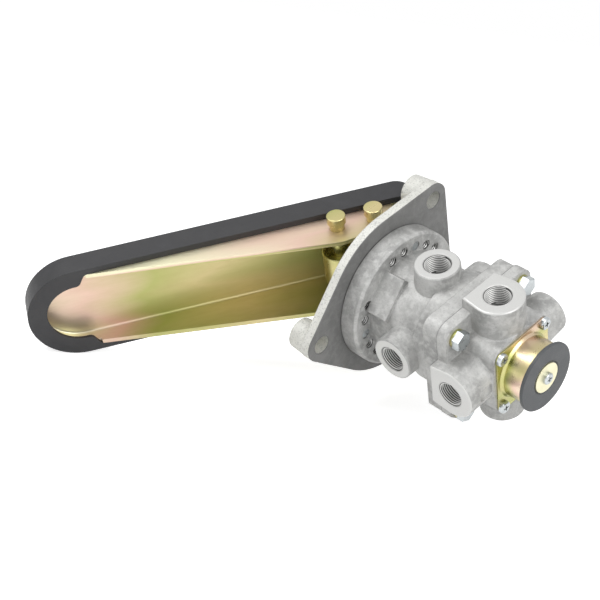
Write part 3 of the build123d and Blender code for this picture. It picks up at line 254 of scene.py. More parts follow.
class ThreadSizes(bpy.types.PropertyGroup):
    port_root: FloatProperty(name="Port thread root", description="Root radius of the pipe thread",
                             default=0.00844, unit="LENGTH", min=0.001, max=0.05)
    port_height: FloatProperty(name="Port thread height", description="Height of the pipe thread",
                               default=0.00092, unit="LENGTH", min=0.0001, max=0.01)
    port_pitch: FloatProperty(name="Port thread pitch", description="Pitch of the pipe thread",
                              default=0.001411, unit="LENGTH", min=0.0001, max=0.01)
    port_length: FloatProperty(name="Port thread length", description="Length of the pipe thread",
                               default=0.0129, unit="LENGTH", min=0.001, max=0.05)
    port_start: FloatProperty(name="Port thread start", description="Depth at which the thread starts",
                              default=0.0005, unit="LENGTH", min=0.0, max=0.01)
    hole_root: FloatProperty(name="Hole thread root", description="Root radius in the flange holes",
                             default=0.00319, unit="LENGTH", min=0.001, max=0.05)
    hole_height: FloatProperty(name="Hole thread height", description="Thread height in the flange holes",
                               default=0.00062, unit="LENGTH", min=0.0001, max=0.01)
    hole_pitch: FloatProperty(name="Hole thread pitch", description="Thread pitch in the flange holes",
                              default=0.00127, unit="LENGTH", min=0.0001, max=0.01)
    hole_length: FloatProperty(name="Hole thread length", description="Thread length in the flange holes",
                               default=0.0118, unit="LENGTH", min=0.001, max=0.05)
    hole_start: FloatProperty(name="Hole thread start", description="Depth at which the hole thread starts",
                              default=0.0004, unit="LENGTH", min=0.0, max=0.01)


class StageSizes(bpy.types.PropertyGroup):
    floor: FloatProperty(name="Floor size", description="Width of the pale floor",
                         default=4.0, unit="LENGTH", min=1, max=20)
    key: FloatProperty(name="Key lamp power", description="Power of the lamp above the valve",
                       default=5.2, unit="POWER", min=0, max=500)
    fill: FloatProperty(name="Fill lamp power", description="Power of the lamp right of the camera",
                        default=8.0, unit="POWER", min=0, max=500)
    sky: FloatProperty(name="Surrounding light", description="Level of the soft light from all sides",
                       default=0.34, min=0, max=5)


def add(tree, kind, inputs=None, **settings):
    """New node with its settings, and each input either linked or set."""
    node = tree.nodes.new(kind)
    for key, value in settings.items():
        setattr(node, key, value)
    for key, value in (inputs or {}).items():
        if isinstance(value, bpy.types.NodeSocket):
            tree.links.new(value, node.inputs[key])
        else:
            node.inputs[key].default_value = value
    return node


def maths(tree, operation, *values):
    """Result of one maths node."""
    return add(tree, "ShaderNodeMath", dict(enumerate(values)), operation=operation).outputs[0]


def blank_material(name):
    """Node material with only its output, and the piece's own coordinates."""
    material = bpy.data.materials.new(name)
    material.use_nodes = True
    tree = material.node_tree
    tree.nodes.clear()
    place = add(tree, "ShaderNodeTexCoord").outputs["Object"]
    return material, tree, place


def noise(tree, place, scale, detail=2.0, rough=0.5):
    """Value of a noise pattern at a number of features to the metre."""
    return add(tree, "ShaderNodeTexNoise",
               {"Vector": place, "Scale": scale, "Detail": detail, "Roughness": rough}).outputs[0]


def between(tree, value, low, high, out_low=0.0, out_high=1.0):
    """Value mapped smoothly from one range to another."""
    return add(tree, "ShaderNodeMapRange",
               {0: value, 1: low, 2: high, 3: out_low, 4: out_high},
               interpolation_type="SMOOTHSTEP").outputs[0]


def band(tree, value, middle, half):
    """1 within a half width of a value, falling to 0 outside it."""
    away = maths(tree, "ABSOLUTE", maths(tree, "SUBTRACT", value, middle))
    return between(tree, away, half, half * JOINT_SHADE_FADE, 1.0, 0.0)


def blend_colours(tree, factor, first, second):
    """Colour between two others."""
    node = add(tree, "ShaderNodeMix", data_type="RGBA")
    for socket, value in ((node.inputs[0], factor), (node.inputs[6], first), (node.inputs[7], second)):
        if isinstance(value, bpy.types.NodeSocket):
            tree.links.new(value, socket)
        elif socket.type == "RGBA":
            socket.default_value = (*value[:3], 1.0)
        else:
            socket.default_value = value
    return node.outputs[2]


def shade(colour, factor):
    """Colour made darker or lighter."""
    return tuple(min(1.0, part * factor) for part in colour)


def finish_surface(tree, colour, roughness, metallic, height, depth, normal=None):
    """Principled shader with a bump, joined to the material's output."""
    inputs = {"Height": height, "Distance": depth, "Strength": 1.0}
    if normal is not None:
        inputs["Normal"] = normal
    bump = add(tree, "ShaderNodeBump", inputs).outputs[0]
    shader = add(tree, "ShaderNodeBsdfPrincipled",
                 {"Base Color": colour, "Roughness": roughness, "Metallic": metallic, "Normal": bump})
    add(tree, "ShaderNodeOutputMaterial", {"Surface": shader.outputs[0]})


def casting_skin(tree, settings, place, z, plate, grain):
    """Cast skin colour: flow clouds, mottle, grain, a paler plate as painted light, dark joint lines as
    painted shade.
    """
    cloud = between(tree, noise(tree, place, 44, 5, 0.62), 0.36, 0.64)
    mottle = between(tree, noise(tree, place, 240, 3, 0.6), 0.42, 0.66, 0.0, 0.60)
    speck = between(tree, grain, 0.34, 0.48, 1.0, 0.0)
    share = maths(tree, "MULTIPLY_ADD", plate, 0.22, 0.28)
    # Painted shade: dark lines at the plate and at the seam, where the gaps would be shaded
    plate_joint_shade = band(tree, z, 0.0, PLATE_JOINT_SHADE)
    joint = maths(tree, "MAXIMUM", plate_joint_shade, band(tree, z, settings.seam, BODY_JOINT_SHADE))
    skin = blend_colours(tree, cloud, shade(settings.colour, 0.74), shade(settings.colour, 1.12))
    skin = blend_colours(tree, mottle, skin, shade(settings.colour, 1.30))
    # Painted light: the plate takes its paler colour
    skin = blend_colours(tree, maths(tree, "MULTIPLY", plate, 0.55), skin, settings.plate)
    skin = blend_colours(tree, maths(tree, "MULTIPLY", speck, share), skin, shade(settings.colour, 0.50))
    return blend_colours(tree, maths(tree, "MULTIPLY", joint, 0.75), skin, shade(settings.colour, 0.22))


def port_face(tree, settings, z, far_x, far_y):
    """Colour of a cut port face, with turned rings round the middle of its port."""
    middle = between(tree, z, BETWEEN_PORTS - PORT_STEP, BETWEEN_PORTS + PORT_STEP,
                     LOWER_PORTS, UPPER_PORTS)
    level = maths(tree, "SUBTRACT", z, middle)
    side = maths(tree, "MINIMUM", far_x, far_y)
    squares = maths(tree, "ADD", maths(tree, "MULTIPLY", level, level), maths(tree, "MULTIPLY", side, side))
    turned = maths(tree, "MULTIPLY", maths(tree, "SQRT", squares), TOOL_MARKS)
    ring = add(tree, "ShaderNodeTexNoise", {"W": turned, "Detail": 1.0}, noise_dimensions="1D").outputs[0]
    return blend_colours(tree, between(tree, ring, 0.3, 0.7), shade(settings.machined, 0.86),
                         settings.machined)


def cast_aluminium(settings):
    """Blasted die casting with soft edges, a plate paler as painted light, dark joint lines as painted
    shade, cut port faces.
    """
    material, tree, place = blank_material("cast_aluminium")
    x, y, z = add(tree, "ShaderNodeSeparateXYZ", {0: place}).outputs
    far_x = maths(tree, "ABSOLUTE", x)
    far_y = maths(tree, "ABSOLUTE", y)
    outside = maths(tree, "GREATER_THAN", maths(tree, "MAXIMUM", far_x, far_y), UPPER_MOUTH - FACE_DEPTH)
    cut = maths(tree, "MULTIPLY", outside, maths(tree, "LESS_THAN", z, PORT_FACES_TOP))
    plate = between(tree, z, *PLATE_BLEND)
    grain = noise(tree, place, 1 / settings.grain, 3, 0.65)
    fine = noise(tree, place, 3 / settings.grain, 1)
    skin = casting_skin(tree, settings, place, z, plate, grain)
    colour = blend_colours(tree, cut, skin, port_face(tree, settings, z, far_x, far_y))
    rough = blend_colours(tree, cut, (0.60, 0.60, 0.60), (0.38, 0.38, 0.38))
    height = maths(tree, "ADD", maths(tree, "MULTIPLY", grain, 0.75), maths(tree, "MULTIPLY", fine, 0.25))
    uncut = maths(tree, "SUBTRACT", 1.0, maths(tree, "MULTIPLY", cut, 0.9))
    height = maths(tree, "MULTIPLY", height, uncut)
    height = maths(tree, "MULTIPLY", height, maths(tree, "MULTIPLY_ADD", plate, 1.2, 0.8))
    soft = add(tree, "ShaderNodeBevel", {"Radius": settings.edge}, samples=6).outputs[0]
    finish_surface(tree, colour, rough, metallic=0.35, height=height, depth=0.00024, normal=soft)
    return material


def turned_metal(name):
    """Fine turned or ground metal with faint tool marks."""
    colour, roughness = METALS[name]
    material, tree, place = blank_material(name)
    stretched = add(tree, "ShaderNodeMapping", {"Vector": place, "Scale": (1.0, 1.0, 9.0)}).outputs[0]
    marks = noise(tree, stretched, 320, 3)
    tone = blend_colours(tree, between(tree, marks, 0.3, 0.7), shade(colour, 0.86), shade(colour, 1.08))
    rough = between(tree, marks, 0.2, 0.8, roughness - 0.05, roughness + 0.07)
    finish_surface(tree, tone, rough, metallic=1.0, height=marks, depth=0.00004)
    return material


def cut_thread_painted_light(settings):
    """Cut thread: crests brightened as painted highlight, roots darkened as painted shade."""
    material, tree, place = blank_material("cut_thread_painted_light")
    ridge = add(tree, "ShaderNodeAttribute", attribute_name="ridge").outputs[2]
    # Painted shade in the roots and painted highlight on the crests, by the stored ridge share
    tone = blend_colours(tree, between(tree, ridge, 0.25, 0.85), shade(settings.machined, 0.10),
                         shade(settings.machined, 1.1))
    finish_surface(tree, tone, roughness=0.42, metallic=0.5, height=noise(tree, place, 900, 2),
                   depth=0.000004)
    return material


def yellow_zinc(name, settings, spread, start, roughness, metallic, turn=(0.0, 0.0, 0.0), drift=0.0,
                painted_light_side=NOWHERE):
    """Yellow chromate on zinc: tones drifting along the piece and in clouds, rolling streaks, painted light
    on one side.
    """
    material, tree, place = blank_material(name)
    laid = add(tree, "ShaderNodeMapping", {"Vector": place, "Rotation": turn}).outputs[0]
    split = add(tree, "ShaderNodeSeparateXYZ", {0: laid}).outputs
    drawn = add(tree, "ShaderNodeMapping", {"Vector": laid, "Scale": (1.0, 0.22, 1.0)}).outputs[0]
    cloud = maths(tree, "SUBTRACT", noise(tree, drawn, 24, 2, 0.5), 0.5)
    streak = noise(tree, drawn, 260, 4, 0.7)
    drifted = maths(tree, "MULTIPLY", split[1], drift)
    step = maths(tree, "ADD", drifted, maths(tree, "MULTIPLY", cloud, spread))
    # Painted light: the tones of the side given shift towards the paler end of the ramp
    step = maths(tree, "ADD", step, between(tree, split[0], painted_light_side, painted_light_side + SIDE_PAINTED_LIGHT_WIDTH, SIDE_PAINTED_LIGHT, 0.0))
    ramp = add(tree, "ShaderNodeValToRGB", {0: maths(tree, "ADD", step, start)})
    tones = (settings.brown, settings.green, settings.gold, settings.green, settings.rose, settings.pale)
    spots = (0.0, 0.16, 0.34, 0.56, 0.76, 1.0)
    bar = ramp.color_ramp
    while len(bar.elements) < len(tones):
        bar.elements.new(0.5)
    for mark, spot, tone in zip(bar.elements, spots, tones):
        mark.position = spot
        mark.color = (*tone, 1.0)
    streaked = maths(tree, "MULTIPLY", between(tree, streak, 0.35, 0.7), 0.10)
    tone = blend_colours(tree, streaked, ramp.outputs[0], shade(settings.brown, 1.2))
    rough = between(tree, streak, 0.2, 0.8, roughness - 0.06, roughness + 0.06)
    soft = add(tree, "ShaderNodeBevel", {"Radius": 0.0005}, samples=4).outputs[0]
    finish_surface(tree, tone, rough, metallic, height=streak, depth=0.000012, normal=soft)
    return material


def clear_zinc(settings):
    """Bright zinc plate with a bluish cast and fine handling marks."""
    material, tree, place = blank_material("clear_zinc")
    blot = noise(tree, place, 150, 3)
    fine = noise(tree, place, 1500, 2)
    tone = blend_colours(tree, between(tree, blot, 0.35, 0.65), shade(settings.clear, 0.84), settings.clear)
    rough = between(tree, blot, 0.3, 0.7, 0.22, 0.36)
    soft = add(tree, "ShaderNodeBevel", {"Radius": 0.0003}, samples=4).outputs[0]
    finish_surface(tree, tone, rough, metallic=1.0, height=fine, depth=0.00003, normal=soft)
    return material


def moulded_rubber(name, colour, roughness, dust):
    """Matt moulded rubber with a fine skin and paler rubbed patches."""
    material, tree, place = blank_material(name)
    skin = noise(tree, place, 1300, 3, 0.6)
    bloom = noise(tree, place, 42, 4, 0.6)
    tone = blend_colours(tree, maths(tree, "MULTIPLY", between(tree, bloom, 0.48, 0.72), dust), colour,
                         shade(colour, 2.4))
    tone = blend_colours(tree, maths(tree, "MULTIPLY", between(tree, skin, 0.58, 0.75), 0.35), tone,
                         shade(colour, 1.9))
    rough = between(tree, bloom, 0.3, 0.7, roughness - 0.08, roughness + 0.08)
    soft = add(tree, "ShaderNodeBevel", {"Radius": 0.0006}, samples=4).outputs[0]
    finish_surface(tree, tone, rough, metallic=0.0, height=skin, depth=0.00012, normal=soft)
    return material


def paint(nodes, material):
    """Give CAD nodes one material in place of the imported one."""
    for name in nodes:
        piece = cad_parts[name]
        piece.data.materials.clear()
        piece.data.materials.append(material)


def shade_smooth(mesh):
    """Smooth shading on all faces."""
    mesh.polygons.foreach_set("use_smooth", [True] * len(mesh.polygons))


def new_piece(name, data):
    """New object in the scene around a mesh, a lamp or a camera."""
    piece = bpy.data.objects.new(name, data)
    bpy.context.scene.collection.objects.link(piece)
    return piece


def new_tree(name, sizes):
    """Geometry tree with named inputs, its group input and its group output."""
    tree = bpy.data.node_groups.new(name, "GeometryNodeTree")
    tree.interface.new_socket("Geometry", in_out="INPUT", socket_type="NodeSocketGeometry")
    for label, kind in sizes:
        tree.interface.new_socket(label, in_out="INPUT", socket_type=kind)
    tree.interface.new_socket("Geometry", in_out="OUTPUT", socket_type="NodeSocketGeometry")
    return tree, add(tree, "NodeGroupInput").outputs


def close_tree(tree, geometry, material):
    """Realize the instances, smooth all but the sharp folds, set the material and end the tree."""
    real = add(tree, "GeometryNodeRealizeInstances", {"Geometry": geometry}).outputs[0]
    smooth = add(tree, "GeometryNodeSetShadeSmooth", {"Geometry": real}).outputs[0]
    angle = add(tree, "GeometryNodeInputMeshEdgeAngle").outputs[0]
    folded = maths(tree, "GREATER_THAN", angle, FOLD_ANGLE)
    creased = add(tree, "GeometryNodeSetShadeSmooth",
                  {"Geometry": smooth, "Selection": folded, "Shade Smooth": False},
                  domain="EDGE").outputs[0]
    painted = add(tree, "GeometryNodeSetMaterial", {"Geometry": creased, "Material": material}).outputs[0]
    add(tree, "NodeGroupOutput", {"Geometry": painted})


def grow(piece, tree, values):
    """Run a geometry tree on a piece with its inputs by name, and keep the plain mesh."""
    modifier = piece.modifiers.new(tree.name, "NODES")
    modifier.node_group = tree
    for item in tree.interface.items_tree:
        if item.in_out == "INPUT" and item.name in values:
            modifier[item.identifier] = values[item.name]
    bpy.context.view_layer.update()
    graph = bpy.context.evaluated_depsgraph_get()
    mesh = bpy.data.meshes.new_from_object(piece.evaluated_get(graph), depsgraph=graph)
    mesh.name = piece.name
    piece.modifiers.clear()
    piece.data = mesh
    if "turn" in mesh.attributes:
        mesh.attributes.remove(mesh.attributes["turn"])
    if len(mesh.polygons) == 0:
        raise RuntimeError(f"{piece.name} came out empty")


def seat_points(name, places):
    """Piece of loose points, each with the turn that its copy takes."""
    mesh = bpy.data.meshes.new(name)
    mesh.from_pydata([place for place, _ in places], [], [])
    turns = mesh.attributes.new("turn", "FLOAT_VECTOR", "POINT")
    for item, (_, turn) in zip(turns.data, places):
        item.vector = turn
    return new_piece(name, mesh)


def thread_tree():
    """Inner thread: a closed ring whose inner side winds in a V-shaped helix, copied to each point."""
    tree, given = new_tree("Inner thread", (
        ("Root radius", "NodeSocketFloat"), ("Height", "NodeSocketFloat"), ("Pitch", "NodeSocketFloat"),
        ("Length", "NodeSocketFloat"), ("Around", "NodeSocketInt"), ("Turns", "NodeSocketInt"),
        ("Material", "NodeSocketMaterial")))
    columns = maths(tree, "ADD", given["Around"], 1)
    last = maths(tree, "MULTIPLY", given["Turns"], 2)
    rows = maths(tree, "ADD", last, 2)
    sheet = add(tree, "GeometryNodeMeshGrid",
                {"Size X": 1.0, "Size Y": 1.0, "Vertices X": columns, "Vertices Y": rows}).outputs[0]
    position = add(tree, "GeometryNodeInputPosition").outputs[0]
    place = add(tree, "ShaderNodeSeparateXYZ", {0: position}).outputs
    around = maths(tree, "ADD", place[0], 0.5)
    share = maths(tree, "ADD", place[1], 0.5)
    row = maths(tree, "ROUND", maths(tree, "MULTIPLY", share, maths(tree, "ADD", last, 1)))
    half_row = maths(tree, "MULTIPLY", row, 0.5)
    front = maths(tree, "LESS_THAN", row, maths(tree, "ADD", last, 0.5))
    wound = maths(tree, "MULTIPLY", maths(tree, "SUBTRACT", half_row, around), given["Pitch"])
    held = maths(tree, "MINIMUM", maths(tree, "MAXIMUM", wound, 0.0), given["Length"])
    depth = maths(tree, "MULTIPLY", held, front)
    crest = maths(tree, "MULTIPLY", maths(tree, "PINGPONG", half_row, 0.5), 2.0)
    end = maths(tree, "SUBTRACT", given["Length"], THREAD_END)
    inside = maths(tree, "MULTIPLY", maths(tree, "GREATER_THAN", depth, THREAD_END),
                   maths(tree, "LESS_THAN", depth, end))
    ridge = maths(tree, "MULTIPLY", maths(tree, "MULTIPLY", crest, given["Height"]), inside)
    radius = maths(tree, "SUBTRACT", given["Root radius"], ridge)
    turn = maths(tree, "MULTIPLY", around, 2 * math.pi)
    spot = add(tree, "ShaderNodeCombineXYZ",
               {0: maths(tree, "MULTIPLY", radius, maths(tree, "COSINE", turn)),
                1: maths(tree, "MULTIPLY", radius, maths(tree, "SINE", turn)), 2: depth}).outputs[0]
    # The ridge share drives the material's painted highlight on crests and painted shade in roots
    marked = add(tree, "GeometryNodeStoreNamedAttribute",
                 {"Geometry": sheet, "Name": "ridge", 3: maths(tree, "MULTIPLY", crest, inside)},
                 data_type="FLOAT", domain="POINT").outputs[0]
    bent = add(tree, "GeometryNodeSetPosition", {"Geometry": marked, "Position": spot}).outputs[0]
    closed = add(tree, "GeometryNodeMergeByDistance",
                 {"Geometry": bent, "Distance": THREAD_MERGE}).outputs[0]
    turns = add(tree, "GeometryNodeInputNamedAttribute", {"Name": "turn"},
                data_type="FLOAT_VECTOR").outputs[0]
    rotation = add(tree, "FunctionNodeEulerToRotation", {0: turns}).outputs[0]
    copies = add(tree, "GeometryNodeInstanceOnPoints",
                 {"Points": given["Geometry"], "Instance": closed, "Rotation": rotation}).outputs[0]
    close_tree(tree, copies, given["Material"])
    return tree


def wind_threads(name, places, root, height, pitch, length, around, material):
    """Piece with one inner thread at each place, of as many turns as its length needs."""
    threads = seat_points(name, places)
    turns = math.ceil(length / pitch) + 1
    grow(threads, thread_tree(), {
        "Root radius": root, "Height": height, "Pitch": pitch, "Length": length,
        "Around": around, "Turns": turns, "Material": material})
    return threads


def spring_tree():
    """Coil spring between two heights on the valve axis."""
    tree, given = new_tree("Coil spring", (
        ("Radius", "NodeSocketFloat"), ("Wire radius", "NodeSocketFloat"), ("Foot", "NodeSocketFloat"),
        ("Height", "NodeSocketFloat"), ("Turns", "NodeSocketFloat"), ("Material", "NodeSocketMaterial")))
    line = add(tree, "GeometryNodeCurveSpiral",
               {"Resolution": SPRING_STEPS, "Rotations": given["Turns"], "Start Radius": given["Radius"],
                "End Radius": given["Radius"], "Height": given["Height"]}).outputs[0]
    wire = add(tree, "GeometryNodeCurvePrimitiveCircle",
               {"Resolution": WIRE_SIDES, "Radius": given["Wire radius"]}).outputs[0]
    coil = add(tree, "GeometryNodeCurveToMesh",
               {"Curve": line, "Profile Curve": wire, "Fill Caps": True}).outputs[0]
    lift = add(tree, "ShaderNodeCombineXYZ", {2: given["Foot"]}).outputs[0]
    placed = add(tree, "GeometryNodeTransform", {"Geometry": coil, "Translation": lift}).outputs[0]
    close_tree(tree, placed, given["Material"])
    return tree


def lathe(name, profile, steps):
    """Closed solid turned about the valve axis from a closed loop of radius and height pairs."""
    mesh = bpy.data.meshes.new(name)
    solid = bmesh.new()
    rings = []
    for step in range(steps):
        angle = 2 * math.pi * step / steps
        rings.append([solid.verts.new((r * math.cos(angle), r * math.sin(angle), z)) for r, z in profile])
    for step in range(steps):
        here, there = rings[step], rings[(step + 1) % steps]
        for k in range(len(profile)):
            after = (k + 1) % len(profile)
            solid.faces.new((here[k], there[k], there[after], here[after]))
    bmesh.ops.recalc_face_normals(solid, faces=solid.faces)
    solid.to_mesh(mesh)
    solid.free()
    shade_smooth(mesh)
    return new_piece(name, mesh)


def boot_profile(settings, low, high, neck):
    """Section of the bellows: beaded foot, folds that taper to the collar, and the inner side back."""
    foot_radius = high.x - BOOT_INSET
    crown_radius = neck + BOOT_COLLAR
    steps = settings.folds * BOOT_STEPS
    outer, inner = [], []
    for k in range(steps + 1):
        share = k / steps
        z = low.z + BOOT_LIP + (high.z - low.z - 2 * BOOT_LIP) * share
        taper = max(0.0, share - BOOT_STRAIGHT) / (1 - BOOT_STRAIGHT)
        radius = foot_radius + (crown_radius - foot_radius) * taper
        crest = BOOT_FOLD * (1 - math.cos(2 * math.pi * settings.folds * share))
        outer.append((radius + crest, z))
        inner.append((radius + crest - settings.wall, z))
    profile = [(foot_radius - BOOT_BEAD, low.z), (foot_radius + BOOT_BEAD_FOOT, low.z)]
    profile += [(foot_radius + BOOT_BEAD, low.z + BOOT_LIP / 2)] + outer
    profile += [(crown_radius + BOOT_CHAMFER, high.z - BOOT_LIP / 2), (crown_radius, high.z)]
    profile += [(neck, high.z), (neck, high.z - BOOT_LIP)] + inner[::-1]
    return profile


def barrel_profile(low, high):
    """Section of the rubber spring: a side that swells to its middle round a plain bore."""
    side = []
    for k in range(BARREL_STEPS + 1):
        share = k / BARREL_STEPS
        hollow = BARREL_SWELL * (1 - math.sin(math.pi * share))
        side.append((high.x - hollow, low.z + (high.z - low.z) * share))
    return [(BARREL_BORE, low.z)] + side + [(BARREL_BORE, high.z)]


def soft_lamp(name, place, target, width, power):
    """Soft square lamp that faces a target."""
    data = bpy.data.lights.new(name, "AREA")
    data.size = width
    data.energy = power
    lamp = new_piece(name, data)
    lamp.location = place
    lamp.rotation_euler = (target - place).to_track_quat("-Z", "Y").to_euler()


def seen_directly(tree):
    """1 for rays that show the background itself, 0 for rays that only carry its light."""
    path = add(tree, "ShaderNodeLightPath").outputs
    seen = maths(tree, "MAXIMUM", path["Is Camera Ray"], path["Is Glossy Ray"])
    return maths(tree, "MAXIMUM", seen, path["Is Transmission Ray"])


def floor_material():
    """Pale floor that shows the shadow and is seen from its upper side only."""
    material, tree, place = blank_material("pale_floor")
    tone = blend_colours(tree, noise(tree, place, 3), (0.80, 0.80, 0.80), (0.84, 0.84, 0.84))
    paper = add(tree, "ShaderNodeBsdfDiffuse", {"Color": tone}).outputs[0]
    level = maths(tree, "MULTIPLY", seen_directly(tree), FLOOR_GLOW)
    glow = add(tree, "ShaderNodeEmission", {"Color": (1.0, 1.0, 1.0, 1.0), "Strength": level})
    lit = add(tree, "ShaderNodeAddShader", {0: paper, 1: glow.outputs[0]}).outputs[0]
    clear = add(tree, "ShaderNodeBsdfTransparent").outputs[0]
    back = add(tree, "ShaderNodeNewGeometry").outputs["Backfacing"]
    shown = add(tree, "ShaderNodeMixShader", {0: back, 1: lit, 2: clear}).outputs[0]
    add(tree, "ShaderNodeOutputMaterial", {"Surface": shown})
    return material


def lay_floor(up, width):
    """Square floor across its up direction, just below the valve's lowest point."""
    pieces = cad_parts.values()
    lowest = min(up.dot(vertex.co) for piece in pieces for vertex in piece.data.vertices)
    level = up * (lowest - FLOOR_GAP)
    across = up.orthogonal().normalized()
    along = up.cross(across)
    half = width / 2
    signs = ((-1, -1), (1, -1), (1, 1), (-1, 1))
    points = [level + across * a * half + along * b * half for a, b in signs]
    mesh = bpy.data.meshes.new("floor")
    mesh.from_pydata(points, [], [(0, 1, 2, 3)])
    mesh.materials.append(floor_material())
    return new_piece("floor", mesh)


def light_surroundings(scene, level):
    """Surroundings that are white where they are seen and dimmer as light."""
    world = bpy.data.worlds.new("surroundings")
    scene.world = world
    world.use_nodes = True
    tree = world.node_tree
    tree.nodes.clear()
    strength = maths(tree, "ADD", maths(tree, "MULTIPLY", seen_directly(tree), 1.0 - level), level)
    sky = add(tree, "ShaderNodeBackground", {"Color": (1.0, 1.0, 1.0, 1.0), "Strength": strength})
    add(tree, "ShaderNodeOutputWorld", {"Surface": sky.outputs[0]})


def set_camera(scene):
    """Camera fitted to the photograph."""
    data = bpy.data.cameras.new("camera")
    data.lens = CAMERA_LENS
    data.sensor_width = CAMERA_SENSOR
    data.clip_start = CAMERA_CLIP
    camera = new_piece("camera", data)
    turn = Matrix((CAMERA_RIGHT, CAMERA_UP, CAMERA_BACK)).transposed()
    camera.matrix_world = Matrix.Translation(CAMERA_PLACE) @ turn.to_quaternion().to_matrix().to_4x4()
    scene.camera = camera


class VALVE_OT_castings(bpy.types.Operator):
    """Cast aluminium skin on the plate and the two bodies, and turned aluminium inside them"""

    bl_idname = "valve.castings"
    bl_label = "Finish castings"

    def execute(self, context):
        settings = context.scene.valve_casting
        paint(CASTINGS, cast_aluminium(settings))
        paint(TURNED_PARTS, turned_metal("turned_aluminium"))
        return {"FINISHED"}


class VALVE_OT_pressings(bpy.types.Operator):
    """Yellow chromate on the treadle, the exhaust cover, the pins, the roller and the washers"""

    bl_idname = "valve.pressings"
    bl_label = "Finish plated steel"

    def execute(self, context):
        settings = context.scene.valve_plating
        sloped = (math.radians(-TREADLE_SLOPE), 0.0, 0.0)
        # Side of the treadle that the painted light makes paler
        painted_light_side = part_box("treadle_channel")[0].x
        drift = TREADLE_DRIFT / settings.length
        paint(TREADLE_ZINC, yellow_zinc("treadle_zinc", settings, *TREADLE_TONES, sloped, drift, painted_light_side))
        for name, (nodes, *values) in CHROMATES.items():
            paint(nodes, yellow_zinc(name, settings, *values))
        return {"FINISHED"}


class VALVE_OT_fasteners(bpy.types.Operator):
    """Bright zinc on screws, bolts and plugs"""

    bl_idname = "valve.fasteners"
    bl_label = "Finish fasteners"

    def execute(self, context):
        paint(BRIGHT_ZINC, clear_zinc(context.scene.valve_plating))
        return {"FINISHED"}


class VALVE_OT_rubber_parts(bpy.types.Operator):
    """Moulded rubber on the treadle cover, the stop button, the flap and the rings"""

    bl_idname = "valve.rubber_parts"
    bl_label = "Finish rubber parts"

    def execute(self, context):
        settings = context.scene.valve_rubber
        paint(RUBBER_PARTS, moulded_rubber("moulded_rubber", settings.colour, roughness=0.58, dust=0.5))
        paint(FLAP_RUBBER, moulded_rubber("flap_rubber", settings.flap, roughness=0.52, dust=0.3))
        return {"FINISHED"}


class VALVE_OT_inner_parts(bpy.types.Operator):
    """Ground steel plunger and rings, and brass valves"""

    bl_idname = "valve.inner_parts"
    bl_label = "Finish inner parts"

    def execute(self, context):
        paint(GROUND_STEEL, turned_metal("ground_steel"))
        paint(BRASS_PARTS, turned_metal("turned_brass"))
        return {"FINISHED"}


class VALVE_OT_port_threads(bpy.types.Operator):
    """Pipe threads in the four open ports"""

    bl_idname = "valve.port_threads"
    bl_label = "Cut port threads"

    def execute(self, context):
        sizes = context.scene.valve_threads
        places = []
        for direction, mouth, height in OPEN_PORTS:
            outward = Vector(direction)
            place = outward * (mouth - sizes.port_start) + Vector((0, 0, height))
            places.append((place, (-outward).to_track_quat("Z", "Y").to_euler()))
        threads = wind_threads("port_threads", places, sizes.port_root, sizes.port_height, sizes.port_pitch,
                               sizes.port_length, PORT_SIDES, cut_thread_painted_light(context.scene.valve_casting))
        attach(threads, "housing")
        return {"FINISHED"}


class VALVE_OT_flange_threads(bpy.types.Operator):
    """Threads in the tapped holes round the upper body's flange"""

    bl_idname = "valve.flange_threads"
    bl_label = "Cut flange threads"

    def execute(self, context):
        sizes = context.scene.valve_threads
        mouth = RING_MOUTH + sizes.hole_start
        places = []
        for step in range(RING_STEPS):
            if step in RING_SKIPPED:
                continue
            angle = math.radians(RING_START + step * 360 / RING_STEPS)
            spot = Vector((-RING_RADIUS * math.sin(angle), RING_RADIUS * math.cos(angle), mouth))
            places.append((spot, (0.0, 0.0, angle)))
        threads = wind_threads("flange_hole_threads", places, sizes.hole_root, sizes.hole_height,
                               sizes.hole_pitch, sizes.hole_length, HOLE_SIDES,
                               bpy.data.materials["cut_thread_painted_light"])
        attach(threads, "housing")
        return {"FINISHED"}


class VALVE_OT_boot(bpy.types.Operator):
    """Bellows boot of the plunger, and the rubber spring under it"""

    bl_idname = "valve.boot"
    bl_label = "Mould boot and rubber spring"

    def execute(self, context):
        settings = context.scene.valve_rubber
        low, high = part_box("plunger_boot")
        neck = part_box("plunger")[1].x + BOOT_ROOM
        boot = lathe("boot_bellows", boot_profile(settings, low, high, neck), BOOT_SIDES)
        rubber = bpy.data.materials["moulded_rubber"]
        boot.data.materials.append(rubber)
        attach(boot, "housing")
        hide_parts("plunger_boot")
        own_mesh(boot)

        low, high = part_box("rubber_spring")
        core = lathe("graduating_rubber", barrel_profile(low, high), BARREL_SIDES)
        core.data.materials.append(rubber)
        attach(core, "primary_piston_group")
        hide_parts("rubber_spring")
        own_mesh(core)
        return {"FINISHED"}


class VALVE_OT_springs(bpy.types.Operator):
    """Coil springs of the pistons and valves"""

    bl_idname = "valve.springs"
    bl_label = "Wind springs"

    def execute(self, context):
        tree = spring_tree()
        steel = turned_metal("spring_wire")
        for node, (joint, travel) in SPRINGS.items():
            low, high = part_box(node)
            spring = new_piece(node + "_coil", bpy.data.meshes.new(node + "_coil"))
            radius = (high.x - low.x) / 2 - SPRING_WIRE
            height = high.z - low.z
            grow(spring, tree, {
                "Radius": radius, "Wire radius": SPRING_WIRE, "Foot": low.z + SPRING_WIRE,
                "Height": height - 2 * SPRING_WIRE, "Turns": SPRING_TURNS, "Material": steel})
            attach(spring, "housing")
            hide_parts(node)
            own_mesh(spring)
        return {"FINISHED"}


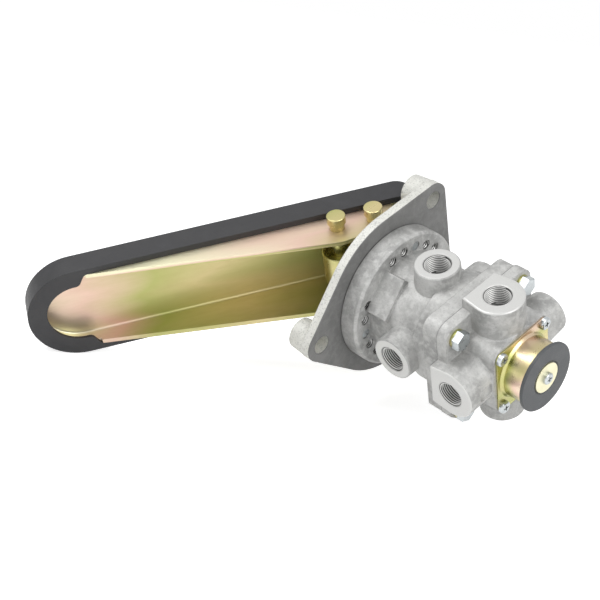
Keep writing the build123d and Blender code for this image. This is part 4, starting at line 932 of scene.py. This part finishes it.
class VALVE_OT_stage(bpy.types.Operator):
    """Pale floor, soft lamps, surroundings and camera"""

    bl_idname = "valve.stage"
    bl_label = "Build stage"

    def execute(self, context):
        sizes = context.scene.valve_stage
        up = Vector(FLOOR_UP).normalized()
        right = Vector(CAMERA_RIGHT)
        toward = Vector(CAMERA_BACK)
        floor = lay_floor(up, sizes.floor)
        target = Vector(LAMP_TARGET)
        lamps = (("key_lamp", KEY_OFFSET, KEY_WIDTH, sizes.key),
                 ("fill_lamp", FILL_OFFSET, FILL_WIDTH, sizes.fill))
        for name, (above, beside, behind), width, power in lamps:
            place = target + up * above + right * beside + toward * behind
            soft_lamp(name, place, target, width, power)
        light_surroundings(context.scene, sizes.sky)
        set_camera(context.scene)
        context.scene.view_settings.view_transform = "Standard"
        return {"FINISHED"}


OPERATORS = (VALVE_OT_castings, VALVE_OT_pressings, VALVE_OT_fasteners, VALVE_OT_rubber_parts,
             VALVE_OT_inner_parts, VALVE_OT_port_threads, VALVE_OT_flange_threads, VALVE_OT_boot,
             VALVE_OT_springs, VALVE_OT_stage)
GROUPS = {"valve_casting": CastingFinish, "valve_plating": PlatingFinish, "valve_rubber": RubberFinish,
          "valve_threads": ThreadSizes, "valve_stage": StageSizes}


class VALVE_PT_panel(bpy.types.Panel):
    """Sizes, finishes and steps of the brake valve"""

    bl_label = "Brake valve"
    bl_idname = "VALVE_PT_panel"
    bl_space_type = "VIEW_3D"
    bl_region_type = "UI"
    bl_category = "Brake Valve"

    def draw(self, context):
        for name, group in GROUPS.items():
            box = self.layout.box()
            settings = getattr(context.scene, name)
            for prop in group.__annotations__:
                box.prop(settings, prop)
        for step in OPERATORS:
            self.layout.operator(step.bl_idname)


def register():
    for group in GROUPS.values():
        bpy.utils.register_class(group)
    for name, group in GROUPS.items():
        setattr(bpy.types.Scene, name, PointerProperty(type=group))
    for step in OPERATORS:
        bpy.utils.register_class(step)
    bpy.utils.register_class(VALVE_PT_panel)


def unregister():
    bpy.utils.unregister_class(VALVE_PT_panel)
    for step in reversed(OPERATORS):
        bpy.utils.unregister_class(step)
    for name in GROUPS:
        delattr(bpy.types.Scene, name)
    for group in reversed(GROUPS.values()):
        bpy.utils.unregister_class(group)


def main():
    register()
    for step in OPERATORS:
        family, name = step.bl_idname.split(".")
        getattr(getattr(bpy.ops, family), name)()


if __name__ == "__main__":
    main()
